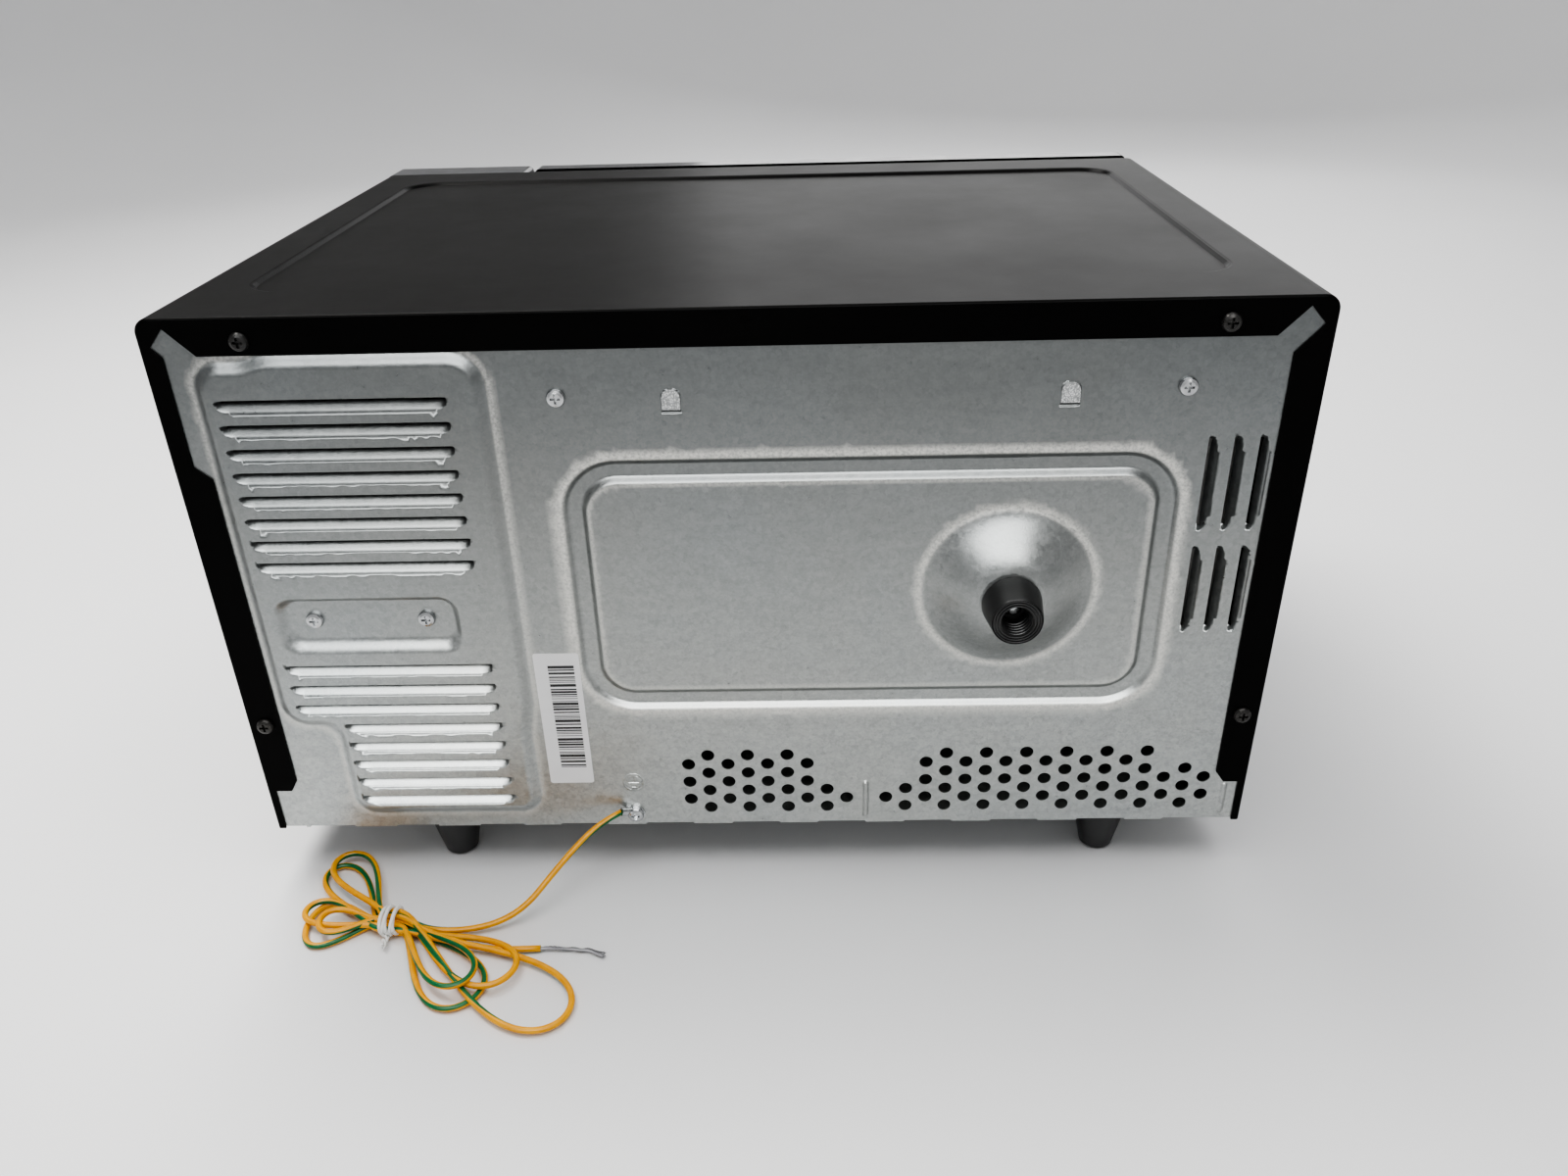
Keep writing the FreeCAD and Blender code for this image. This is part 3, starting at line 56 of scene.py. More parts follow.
class Shader:
    """A small wrapper that adds nodes to one material and links them in a line each."""

    def __init__(self, name, base=(0.5, 0.5, 0.5), rough=0.5, metal=0.0, **sockets):
        self.material = bpy.data.materials.new(name)
        self.material.use_nodes = True
        self.tree = self.material.node_tree
        self.bsdf = self.tree.nodes["Principled BSDF"]
        self.set(self.bsdf, "Base Color", (*base, 1.0))
        self.set(self.bsdf, "Roughness", rough)
        self.set(self.bsdf, "Metallic", metal)
        for key, number in sockets.items():
            self.set(self.bsdf, key.replace("_", " "), number)
        self.place = self.add("ShaderNodeTexCoord").outputs["Object"]

    def set(self, node, socket, number):
        node.inputs[socket].default_value = number

    def add(self, kind, **inputs):
        node = self.tree.nodes.new(kind)
        for key, number in inputs.items():
            self.set(node, key, number)
        return node

    def link(self, output, target):
        self.tree.links.new(output, target)

    def noise(self, scale, detail=3.0, roughness=0.55, stretch=None, distortion=0.0):
        """Noise over the object, with its scale in features per metre."""
        node = self.add("ShaderNodeTexNoise", Scale=scale, Detail=detail, Roughness=roughness,
                        Distortion=distortion)
        source = self.place
        if stretch:
            mapping = self.add("ShaderNodeMapping")
            mapping.inputs["Scale"].default_value = stretch
            self.link(source, mapping.inputs["Vector"])
            source = mapping.outputs["Vector"]
        self.link(source, node.inputs["Vector"])
        return node.outputs["Fac"]

    def cells(self, scale, jitter=1.0):
        node = self.add("ShaderNodeTexVoronoi", Scale=scale, Randomness=jitter)
        self.link(self.place, node.inputs["Vector"])
        return node

    def ramp(self, source, low, high, first, last):
        """Maps source from low..high onto first..last, held at both ends."""
        node = self.add("ShaderNodeMapRange")
        for socket, number in (("From Min", low), ("From Max", high), ("To Min", first), ("To Max", last)):
            self.set(node, socket, number)
        self.link(source, node.inputs["Value"])
        return node.outputs["Result"]

    def math(self, operation, first, second):
        node = self.add("ShaderNodeMath")
        node.operation = operation
        for index, term in enumerate((first, second)):
            if isinstance(term, (int, float)):
                node.inputs[index].default_value = term
            else:
                self.link(term, node.inputs[index])
        return node.outputs["Value"]

    def mix(self, factor, first, second):
        """A colour between two colours, each a triple or a socket."""
        node = self.add("ShaderNodeMix")
        node.data_type = "RGBA"
        self.link(factor, node.inputs["Factor"])
        for socket, colour in ((node.inputs[6], first), (node.inputs[7], second)):
            if isinstance(colour, tuple):
                socket.default_value = (*colour, 1.0)
            else:
                self.link(colour, socket)
        return node.outputs[2]

    def colour(self, output):
        self.link(output, self.bsdf.inputs["Base Color"])

    def rough(self, output):
        self.link(output, self.bsdf.inputs["Roughness"])

    def bump(self, height, distance, strength=1.0):
        """Fine relief, with its depth in metres."""
        node = self.add("ShaderNodeBump", Strength=strength, Distance=distance)
        self.link(height, node.inputs["Height"])
        self.link(node.outputs["Normal"], self.bsdf.inputs["Normal"])


def moulded(name, base, tint, rough, grain=900.0, depth=0.00003, **sockets):
    """Moulded plastic: fine spark-eroded grain, faint shade changes, and handling marks."""
    s = Shader(name, base, rough, **sockets)
    s.colour(s.mix(s.ramp(s.noise(14, 4), 0.35, 0.65, 0.0, 1.0), base, tint))
    s.rough(s.ramp(s.noise(42, 5, 0.65), 0.3, 0.7, rough - 0.06, rough + 0.08))
    s.bump(s.noise(grain, 2), depth)
    return s.material


def sheet_metal(name, base, tint, rough, metal=1.0, grain=220.0, stretch=None, depth=0.00002, **sockets):
    """Bare or plated metal: cloudy tone, directional grain and slight scuffs."""
    s = Shader(name, base, rough, metal, **sockets)
    s.colour(s.mix(s.ramp(s.noise(30, 6, 0.6), 0.3, 0.7, 0.0, 1.0), base, tint))
    s.rough(s.ramp(s.noise(grain, 4, 0.6, stretch), 0.25, 0.75, rough - 0.08, rough + 0.1))
    s.bump(s.noise(grain * 2, 2, 0.5, stretch), depth)
    return s.material


def black_paint():
    """Satin black oven paint: a faint orange-peel skin, wiped smears, and a paler colour on what faces up
    that is partly dust and partly a painted sheen.
    """
    s = Shader("black_paint", (0.004, 0.004, 0.004), 0.3, Specular_IOR_Level=0.03)
    smear = s.ramp(s.noise(7, 5, 0.6, (1.0, 3.0, 1.0), 0.6), 0.35, 0.75, 0.0, 1.0)
    paint = s.mix(smear, (0.0016, 0.0015, 0.0015), (0.003, 0.0029, 0.0028))
    # Upward faces get a paler colour: partly dust, partly a painted sheen that stands in for the reflection
    # on the top.
    dust_and_sheen = s.mix(smear, (0.0042, 0.004, 0.0038), (0.0056, 0.0053, 0.005))
    facing = s.add("ShaderNodeSeparateXYZ")
    s.link(s.add("ShaderNodeNewGeometry").outputs["Normal"], facing.inputs["Vector"])
    upward = s.ramp(facing.outputs["Z"], 0.75, 1.0, 0.0, 1.0)
    s.colour(s.mix(upward, paint, dust_and_sheen))
    rubbed = s.ramp(s.noise(16, 6, 0.65), 0.3, 0.72, 0.27, 0.32)
    s.rough(s.math("ADD", rubbed, s.math("MULTIPLY", upward, 0.1)))
    s.bump(s.noise(700, 2), 0.00001)
    return s.material


def galvanised():
    """Hot-dip zinc: small crystals, a cloudy bloom, fine rolled grain, and painted shade that darkens it
    towards the top.

    The attribute "stretched" says where the press has worked the metal pale and matt."""
    s = Shader("galvanised", (0.42, 0.45, 0.46), 0.36, 0.9)
    crystal = s.cells(520)
    flake = s.cells(1150)
    patch = s.math("ADD", s.math("MULTIPLY", crystal.outputs["Color"], 0.55),
                   s.math("MULTIPLY", flake.outputs["Color"], 0.45))
    cloud = s.ramp(s.noise(8, 6, 0.62), 0.32, 0.68, 0.0, 1.0)
    grain = s.noise(240, 5, 0.7, (0.35, 1.0, 1.0))
    dull = s.mix(cloud, (0.285, 0.305, 0.305), (0.35, 0.362, 0.348))
    keen = s.mix(cloud, (0.43, 0.452, 0.452), (0.50, 0.508, 0.488))
    height = s.add("ShaderNodeSeparateXYZ")
    s.link(s.place, height.inputs["Vector"])
    # Painted shade: the colour is mixed towards dark grey with height, standing in for the darker reflections
    # on the upper panel.
    ragged_height = s.math("ADD", height.outputs["Z"], s.math("MULTIPLY", cloud, 0.03))
    painted_top_shade = s.ramp(ragged_height, 0.05, 0.26, 0.05, 0.78)
    zinc = s.mix(s.ramp(s.math("ADD", patch, grain), 0.55, 1.45, 0.0, 1.0), dull, keen)
    top_shaded_zinc = s.mix(painted_top_shade, zinc, (0.07, 0.076, 0.078))
    pressed = s.add("ShaderNodeAttribute")
    pressed.attribute_name = "stretched"
    scuffed = s.math("MULTIPLY", pressed.outputs["Fac"], s.ramp(s.noise(900, 3, 0.6), 0.3, 0.6, 0.35, 1.0))
    s.colour(s.mix(scuffed, top_shaded_zinc, (0.62, 0.615, 0.58)))
    plain = s.ramp(s.math("ADD", patch, grain), 0.5, 1.5, 0.27, 0.42)
    s.rough(s.math("ADD", plain, s.math("MULTIPLY", scuffed, 0.22)))
    sparkle = s.math("MULTIPLY", s.noise(1700, 2), 0.7)
    skin = s.math("ADD", s.noise(420, 4, 0.6), sparkle)
    s.bump(s.math("ADD", skin, s.math("MULTIPLY", patch, 0.6)), 0.00003)
    return s.material


def coined():
    """Zinc struck rough by a knurled punch."""
    s = Shader("coined_zinc", (0.6, 0.6, 0.6), 0.34, 0.85)
    pits = s.cells(1500)
    depth = s.ramp(pits.outputs["Distance"], 0.1, 0.6, 0.0, 1.0)
    s.colour(s.mix(depth, (0.75, 0.76, 0.76), (0.30, 0.31, 0.31)))
    s.rough(s.ramp(s.noise(900, 3), 0.3, 0.7, 0.25, 0.45))
    s.bump(pits.outputs["Distance"], 0.00025)
    return s.material


def laminated(name, base, tint, sheets):
    """Stacked iron laminations, seen as thin lines across the stack."""
    s = Shader(name, base, 0.45, 0.7)
    wave = s.add("ShaderNodeTexWave", Scale=sheets)
    wave.bands_direction = "Y"
    s.link(s.place, wave.inputs["Vector"])
    s.colour(s.mix(wave.outputs["Fac"], base, tint))
    s.bump(wave.outputs["Fac"], 0.0001)
    return s.material


def winding():
    """Close turns of enamelled copper."""
    s = Shader("copper_winding", (0.45, 0.16, 0.06), 0.32, 0.85, Coat_Weight=0.6)
    wave = s.add("ShaderNodeTexWave", Scale=330.0, Distortion=0.6)
    wave.bands_direction = "Z"
    s.link(s.place, wave.inputs["Vector"])
    s.colour(s.mix(wave.outputs["Fac"], (0.22, 0.07, 0.03), (0.62, 0.24, 0.10)))
    s.bump(wave.outputs["Fac"], 0.0003)
    return s.material


def glass(name, colour, rough, see_through):
    """Sheet glass with faint wipe marks."""
    s = Shader(name, colour, rough, Transmission_Weight=see_through, IOR=1.5)
    s.rough(s.ramp(s.noise(12, 5, 0.6, (1, 1, 4)), 0.35, 0.7, rough, rough + 0.07))
    s.bump(s.noise(6, 2), 0.00006)
    return s.material


def screen():
    """The door's perforated screen: round holes on a close grid, cut out by alpha."""
    s = Shader("door_screen", (0.012, 0.012, 0.013), 0.45, 0.2)
    holes = s.cells(520, jitter=0.0)
    s.link(s.ramp(holes.outputs["Distance"], 0.30, 0.34, 0.0, 1.0), s.bsdf.inputs["Alpha"])
    s.rough(s.ramp(s.noise(60), 0.3, 0.7, 0.35, 0.5))
    return s.material


def earth_insulation():
    """Yellow insulation with one green stripe; u runs round the wire and v along it."""
    s = Shader("earth_insulation", (0.80, 0.37, 0.0), 0.36, Specular_IOR_Level=0.3)
    split = s.add("ShaderNodeSeparateXYZ")
    s.link(s.add("ShaderNodeTexCoord").outputs["UV"], split.inputs["Vector"])
    u = s.math("ABSOLUTE", s.math("SUBTRACT", s.math("FRACT", split.outputs["X"], 0.0), 0.5), 0.0)
    stripe = s.ramp(u, 0.115, 0.125, 1.0, 0.0)
    grime = s.ramp(s.noise(180, 4), 0.35, 0.7, 0.0, 1.0)
    yellow = s.mix(grime, (0.80, 0.37, 0.0), (0.68, 0.29, 0.0))
    green = s.mix(grime, (0.004, 0.14, 0.04), (0.003, 0.10, 0.028))
    s.colour(s.mix(stripe, yellow, green))
    s.rough(s.ramp(s.noise(400, 3), 0.3, 0.7, 0.28, 0.44))
    s.bump(s.noise(900, 2), 0.00002)
    return s.material


def printed_label():
    """White label stock; the bars are separate."""
    s = Shader("label_paper", (0.82, 0.82, 0.82), 0.5)
    s.colour(s.mix(s.ramp(s.noise(60, 4), 0.3, 0.7, 0.0, 1.0), (0.82, 0.82, 0.82), (0.76, 0.76, 0.765)))
    s.bump(s.noise(700, 3), 0.00002)
    return s.material


def board():
    """Paper-phenolic circuit board with a faint fibre figure."""
    s = Shader("circuit_board", (0.30, 0.19, 0.07), 0.5)
    s.colour(s.mix(s.noise(160, 6, 0.7, (1, 6, 1)), (0.24, 0.14, 0.05), (0.38, 0.26, 0.11)))
    s.bump(s.noise(500, 2), 0.00003)
    return s.material


MATERIALS = {
    "black_paint": black_paint(),
    "galvanised": galvanised(),
    "cavity_enamel": sheet_metal("cavity_enamel", (0.55, 0.55, 0.53), (0.50, 0.50, 0.485), 0.34, 0.0),
    "black_plastic": moulded("black_plastic", (0.006, 0.006, 0.006), (0.010, 0.010, 0.010), 0.34,
                             Specular_IOR_Level=0.45),
    "gloss_black": moulded("gloss_black", (0.003, 0.003, 0.0032), (0.005, 0.005, 0.0054), 0.15, 300, 0.000006,
                           Specular_IOR_Level=0.25),
    "grey_plastic": moulded("grey_plastic", (0.085, 0.085, 0.088), (0.105, 0.105, 0.108), 0.34),
    "white_plastic": moulded("white_plastic", (0.74, 0.73, 0.70), (0.68, 0.67, 0.63), 0.4),
    "tinted_glass": glass("tinted_glass", (0.2, 0.2, 0.21), 0.01, 1.0),
    "clear_glass": glass("clear_glass", (0.90, 0.97, 0.96), 0.02, 0.95),
    "zinc_screw": sheet_metal("zinc_screw", (0.46, 0.47, 0.475), (0.36, 0.37, 0.375), 0.2),
    "black_screw": sheet_metal("black_screw", (0.016, 0.016, 0.016), (0.035, 0.033, 0.03), 0.3, 0.6),
    "steel": sheet_metal("steel", (0.48, 0.48, 0.48), (0.38, 0.38, 0.38), 0.36),
    "lamination": laminated("lamination", (0.10, 0.10, 0.105), (0.20, 0.20, 0.21), 500),
    "copper_winding": winding(),
    "aluminium": sheet_metal("aluminium", (0.74, 0.75, 0.76), (0.64, 0.65, 0.66), 0.34, stretch=(1, 1, 8)),
    "mica": moulded("mica", (0.42, 0.33, 0.22), (0.52, 0.44, 0.32), 0.55, 300, 0.00008),
    "circuit_board": board(),
    "bare_copper": sheet_metal("bare_copper", (0.30, 0.30, 0.31), (0.14, 0.14, 0.15), 0.42),
    "white_tie": moulded("white_tie", (0.80, 0.80, 0.78), (0.70, 0.70, 0.68), 0.5, 500),
    "label_paper": printed_label(),
    "earth_wire": earth_insulation(),
}
DOOR_SCREEN = screen()
COINED_ZINC = coined()


def dress_nodes():
    """Gives every CAD node the finish of its slot."""
    for part in frame["record"]["subparts"]:
        material = DOOR_SCREEN if part["node"] == "door_mesh" else MATERIALS[part["material_slot"]]
        node = NODES[part["node"]]
        if node.material_slots:
            for held in node.material_slots:
                held.link = "OBJECT"
                held.material = material
        else:
            node.data.materials.append(material)


# ---- mesh helpers ----

def piece(name, verts, faces, slot, body="cabinet", smooth=True):
    """A mesh object in the row frame that rides on a body and takes a slot's finish."""
    mesh = bpy.data.meshes.new(name)
    mesh.from_pydata([tuple(v) for v in verts], [], faces)
    mesh.validate()
    mesh.polygons.foreach_set("use_smooth", [smooth] * len(mesh.polygons))
    thing = bpy.data.objects.new(name, mesh)
    bpy.context.scene.collection.objects.link(thing)
    thing.data.materials.append(MATERIALS[slot])
    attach(thing, body)
    return thing


def smooth_line(name, points, steps=6):
    """The points of a NURBS line whose control points are given."""
    data = bpy.data.curves.new(name, "CURVE")
    data.dimensions = "3D"
    data.resolution_u = steps
    spline = data.splines.new("NURBS")
    spline.points.add(len(points) - 1)
    for target, point in zip(spline.points, points):
        target.co = (*point, 1.0)
    spline.order_u = 3
    spline.use_endpoint_u = True
    holder = bpy.data.objects.new(name, data)
    bpy.context.scene.collection.objects.link(holder)
    bpy.context.view_layer.update()
    mesh = bpy.data.meshes.new_from_object(holder)
    line = [v.co.copy() for v in mesh.vertices]
    bpy.data.objects.remove(holder)
    bpy.data.meshes.remove(mesh)
    return line


def carried_frames(line):
    """For each point of a line, two directions across it that turn as little as they can."""
    ways = []
    for i in range(len(line)):
        ways.append((line[min(i + 1, len(line) - 1)] - line[max(i - 1, 0)]).normalized())
    side = ways[0].cross(Vector((0, 0, 1))).normalized()
    frames = []
    for i, way in enumerate(ways):
        if i:
            side = ways[i - 1].rotation_difference(way) @ side
            side = (side - way * side.dot(way)).normalized()
        frames.append((side, way.cross(side)))
    return frames


def tube(line, radius, sides=14, twist=0.0):
    """Vertices, faces and (u, v) of each face corner for a closed round tube along a line."""
    verts, faces, uvs = [], [], []
    run, last = 0.0, line[0]
    marks = []
    for point, (across, up) in zip(line, carried_frames(line)):
        run += (point - last).length
        last = point
        marks.append(run)
        for k in range(sides):
            angle = math.tau * k / sides
            verts.append(point + (across * math.cos(angle) + up * math.sin(angle)) * radius)
    for i in range(len(line) - 1):
        for k in range(sides):
            a, b = i * sides + k, i * sides + (k + 1) % sides
            faces.append((a, b, b + sides, a + sides))
            low, high = marks[i], marks[i + 1]
            uvs.append([(k / sides + low * twist, low), ((k + 1) / sides + low * twist, low),
                        ((k + 1) / sides + high * twist, high), (k / sides + high * twist, high)])
    count = len(line) * sides
    faces.append(tuple(reversed(range(sides))))
    faces.append(tuple(range(count - sides, count)))
    uvs += [[(0.5, 0.0)] * sides, [(0.5, run)] * sides]
    return verts, faces, uvs


def lay_uvs(thing, uvs):
    layer = thing.data.uv_layers.new(name="UVMap")
    flat = [number for corner in (pair for face in uvs for pair in face) for number in corner]
    layer.data.foreach_set("uv", flat)


def bar(x, y, z):
    """The corners and faces of a box between two planes along each axis, in millimetres."""
    verts = [Vector((a, b, c)) * MM for a in x for b in y for c in z]
    return verts, [(0, 1, 3, 2), (4, 6, 7, 5), (0, 4, 5, 1), (2, 3, 7, 6), (0, 2, 6, 4), (1, 5, 7, 3)]


def gathered(parts):
    """One list of vertices and one of faces from several."""
    verts, faces = [], []
    for more, rims in parts:
        start = len(verts)
        verts += more
        faces += [tuple(start + v for v in rim) for rim in rims]
    return verts, faces


def prism(outline, near, far):
    """A closed solid with an (x, z) outline, between two planes across Y, in millimetres."""
    count = len(outline)
    verts = [Vector((x, y, z)) * MM for y in (near, far) for x, z in outline]
    faces = [tuple(range(count)), tuple(reversed(range(count, 2 * count)))]
    faces += [(k, k + count, (k + 1) % count + count, (k + 1) % count) for k in range(count)]
    return verts, faces


def rounded(low, high, radius, inset=0.0, steps=4):
    """The (x, z) points round a rectangle with rounded corners."""
    outline = []
    reach = radius - inset
    for side_x, side_z, start in ((1, 1, 0), (-1, 1, 90), (-1, -1, 180), (1, -1, 270)):
        middle_x = (low.x + high.x) / 2 + side_x * ((high.x - low.x) / 2 - radius)
        middle_z = (low.z + high.z) / 2 + side_z * ((high.z - low.z) / 2 - radius)
        for k in range(steps + 1):
            angle = math.radians(start + 90 / steps * k)
            outline.append((middle_x + reach * math.cos(angle), middle_z + reach * math.sin(angle)))
    return outline


def lathe(profile, at, sides=72, way=1, flutes=0):
    """Vertices and faces of (radius, reach) turned about an axis along Y; radius 0 closes an end.

    A third number in a point says how deep its flutes are."""
    verts, rows = [], []
    for radius, reach, *depth in profile:
        rows.append(len(verts))
        for k in range(sides if radius else 1):
            angle = way * math.tau * k / sides
            wide = radius - (depth[0] * (0.5 + 0.5 * math.cos(flutes * angle)) if depth else 0.0)
            verts.append(Vector((at[0] + wide * math.cos(angle), at[1] + way * reach,
                                 at[2] - wide * math.sin(angle))) * MM)
    closed = profile[0][0] > 0
    faces = []
    for i in range(len(profile) - (0 if closed else 1)):
        j = (i + 1) % len(profile)
        for k in range(sides):
            after = (k + 1) % sides
            low = [rows[i] + k, rows[i] + after] if profile[i][0] else [rows[i]]
            high = [rows[j] + after, rows[j] + k] if profile[j][0] else [rows[j]]
            faces.append(tuple(low + high))
    return verts, faces


def sharpened(thing, degrees=32):
    """Smooth shading that breaks at the real edges."""
    thing.data.set_sharp_from_angle(angle=math.radians(degrees))
    return thing


def bevelled(thing, width, segments=3):
    """Rounds the sharp edges of a piece in its own mesh."""
    mesh = bmesh.new()
    mesh.from_mesh(thing.data)
    sharp = [edge for edge in mesh.edges if len(edge.link_faces) == 2 and edge.calc_face_angle() > 0.6]
    bmesh.ops.bevel(mesh, geom=sharp, offset=width * MM, segments=segments, affect="EDGES", profile=0.6)
    bmesh.ops.recalc_face_normals(mesh, faces=mesh.faces)
    mesh.to_mesh(thing.data)
    mesh.free()
    thing.data.polygons.foreach_set("use_smooth", [True] * len(thing.data.polygons))
    return sharpened(thing, 40)


# ---- the stamped rear panel ----
# Millimetres across (x) and above the cabinet's foot (z), as in the CAD panel.

FOOT = 25.0
PLATE_Y = 159.2
PLATE_SHEET = 0.8
PLATE_HALF, PLATE_TOP, PLATE_ROUND = 223.6, 242.8, 12.0
BAY = (96.8, 208.9, 7.8, 228.0)
BAY_NOTCH = (186.0, 57.7)
BAY_RISE, BAY_SLOPE = 3.0, 6.2
POCKET, POCKET_FLOOR, POCKET_SINK = (119.3, 200.5, 96.8, 125.2), (124.2, 193.7, 104.0, 121.6), 3.5
RING, RING_ROUND, RING_WIDTH, RING_SINK = (-177.6, 72.4, 64.1, 184.4), 24.0, 11.4, 2.5
CONE_AT, CONE_FOOT, CONE_TOP, CONE_RISE = (-110.2, 123.8), 36.7, 13.5, 13.5
LOUVRE_TALL, LOUVRE_SLIT, LOUVRE_SINK = 5.4, 1.45, 3.4
LOUVRES = [(left, right, top - pitch * k) for left, right, top, pitch, count in
           ((110.0, 200.5, 212.3, 10.07, 8), (109.6, 200.0, 91.5, 10.2, 3), (109.6, 180.0, 60.7, 10.05, 5))
           for k in range(count)]
SIDE_WIDE, SIDE_SLIT = 4.6, 2.3
SIDE_LOUVRES = [(-184.4 - 9.95 * k, low, high)
                for k in range(3) for low, high in ((148.2, 189.8), (100.8, 141.8))]
LOUVRE_END, SIDE_END = 1.2, 2.2
VENT_RADIUS = 3.0
KEYS, KEY_HALF, KEY_LOW, KEY_SPRING = (24.2, -129.1), 3.9, 204.4, 209.4
RIBS = ((-52.1, 1.7, 3.4, 24.5, 1.3), (-215.7, 1.3, 3.4, 21.0, 0.8))
EARTH_MARK, EARTH_MARK_RADIUS = (54.3, 24.5), 5.0
EARTH_MARK_STROKES = ((0, 2.8, 0, 0.2), (-2.4, 0.2, 2.4, 0.2), (-1.6, -1.1, 1.6, -1.1),
                      (-0.8, -2.3, 0.8, -2.3))
HAIR = 0.06
# The net's pitch up to each edge: fine where the metal is shaped, wide where it is flat.
NET_ACROSS = ((-180, 0.75), (48, 1.0), (61, 0.5), (75, 0.9), (93, 3.0), (128, 0.9), (176, 4.0), (212, 0.9),
              (PLATE_HALF + 1, 3.0))
NET_UP = ((18, 0.8), (31, 0.5), (214, 0.72), (PLATE_TOP + 1, 1.2))
NET_KEPT = 0.24


def vent_spots():
    """The staggered round vents, in two fields with stepped inner ends."""
    full_odd, full_even = (1, 3, 5), (0, 2, 4, 6)
    rows = {i: full_even if i % 2 else full_odd for i in range(27)}
    rows.update({7: (0, 2), 8: (1,), 9: (), 10: (1,), 11: (0, 2), 24: (1, 3), 25: (0, 2, 4), 26: (1, 3)})
    return [(28.4 - 9.0 * i, 9.6 + 4.93 * j) for i, levels in rows.items() for j in levels]


def soft_step(t):
    t = np.clip(t, 0.0, 1.0)
    return t * t * (3 - 2 * t)


def box_distance(x, z, box, radius):
    """How far a point is outside a rounded rectangle; negative inside."""
    left, right, low, high = box
    across = np.abs(x - (left + right) / 2) - ((right - left) / 2 - radius)
    along = np.abs(z - (low + high) / 2) - ((high - low) / 2 - radius)
    outside = np.hypot(np.maximum(across, 0), np.maximum(along, 0))
    return outside + np.minimum(np.maximum(across, along), 0) - radius


def bay_distance(x, z):
    """The fan bay: two overlapping rectangles, with a rounded inner corner at the notch."""
    left, right, low, high = BAY
    tall = box_distance(x, z, (left, BAY_NOTCH[0], low, high), 11.0)
    upper = box_distance(x, z, (left, right, BAY_NOTCH[1], high), 13.0)
    blend = 10.0
    near = np.maximum(blend - np.abs(tall - upper), 0) / blend
    return np.minimum(tall, upper) - near * near * blend / 4


def between(values, low, high):
    return (values > low) & (values < high)


def scoop(t):
    """A louvre's section from its foot, 0, to its lip, 1: a soft bend, then straight."""
    bend, start = 0.13, 0.10
    raw = 0.5 * (t - start + np.sqrt((t - start) ** 2 + bend ** 2))
    full = 0.5 * (1 - start + math.sqrt((1 - start) ** 2 + bend ** 2))
    return np.where(t > 0, raw / full, 0.0)


def end_round(distance, reach):
    """0 at a louvre's end, rising as a quarter round to 1."""
    t = np.clip(1 - distance / reach, 0.0, 1.0)
    return np.where(distance > 0, np.sqrt(1 - t * t), 0.0)


def scooped(inside, t, ends):
    """How deep a louvre is pressed, where `inside` holds."""
    return np.where(inside & (ends > 0), LOUVRE_SINK * scoop(t) * np.minimum(ends * 1.4, 1), 0)


def line_mark(x, z, ax, az, bx, bz, half):
    """1 within `half` of the stroke from a to b, falling to 0 just outside."""
    along = np.clip(((x - ax) * (bx - ax) + (z - az) * (bz - az)) / ((bx - ax) ** 2 + (bz - az) ** 2), 0, 1)
    gap = np.hypot(x - ax - along * (bx - ax), z - az - along * (bz - az))
    return soft_step((half + 0.25 - gap) / 0.4)


def panel_height(x, z):
    """The panel's outer face, in millimetres out from the flat plate."""
    high = BAY_RISE * soft_step(-bay_distance(x, z) / BAY_SLOPE)
    outer = -box_distance(x, z, POCKET, 9.0)
    inner = box_distance(x, z, POCKET_FLOOR, 5.0)
    high -= POCKET_SINK * soft_step(np.where(outer > 0, outer / (outer + np.maximum(inner, 1e-6)), 0.0))
    into = -box_distance(x, z, RING, RING_ROUND)
    slope = 3.7
    high -= RING_SINK * (soft_step(into / slope) - soft_step((into - RING_WIDTH + slope) / slope))
    reach = np.hypot(x - CONE_AT[0], z - CONE_AT[1])
    up = np.clip((CONE_FOOT - reach) / (CONE_FOOT - CONE_TOP), 0, 1)
    high += CONE_RISE * (0.45 * up + 0.55 * soft_step(up))
    for left, right, top in LOUVRES:
        ends = end_round(np.minimum(x - left, right - x), 5.5)
        low = top - LOUVRE_TALL * (0.35 + 0.65 * ends)
        t = np.clip((z - low) / (top - LOUVRE_SLIT - low), 0, 1)
        high -= scooped(between(z, low, top), t, ends)
    for slit, low, top in SIDE_LOUVRES:
        ends = end_round(np.minimum(z - low, top - z), 7.5)
        foot = slit - SIDE_WIDE * (0.15 + 0.85 * ends)
        t = np.clip((x - foot) / (slit - SIDE_SLIT * ends - foot), 0, 1)
        high -= scooped(between(x, foot, slit), t, ends)
    for key in KEYS:
        dome = np.hypot(x - key, np.maximum(z - KEY_SPRING, 0))
        high += 0.7 * np.where(z > KEY_LOW, soft_step((KEY_HALF + 0.2 - dome) / 0.4), 0)
        dip = soft_step((z - KEY_LOW + 2.1) / 1.2) * (np.abs(x - key) < KEY_HALF) * (z < KEY_LOW - 0.5)
        high -= 0.9 * dip
    for middle, half, low, top, rise in RIBS:
        along = np.minimum(np.maximum(z, low + half), top - half)
        high += rise * soft_step((half - np.hypot(x - middle, z - along)) / half * 1.3)
    mark_x, mark_z = EARTH_MARK
    gap = np.hypot(x - mark_x, z - mark_z)
    high += 0.35 * soft_step((EARTH_MARK_RADIUS + 0.3 - gap) / 0.6)
    sunk = soft_step((0.45 - np.abs(gap - EARTH_MARK_RADIUS + 1.0)) / 0.3)
    for a, b, c, d in EARTH_MARK_STROKES:
        sunk = np.maximum(sunk, line_mark(x, z, mark_x + a, mark_z + b, mark_x + c, mark_z + d, 0.25))
    return high - 0.3 * sunk


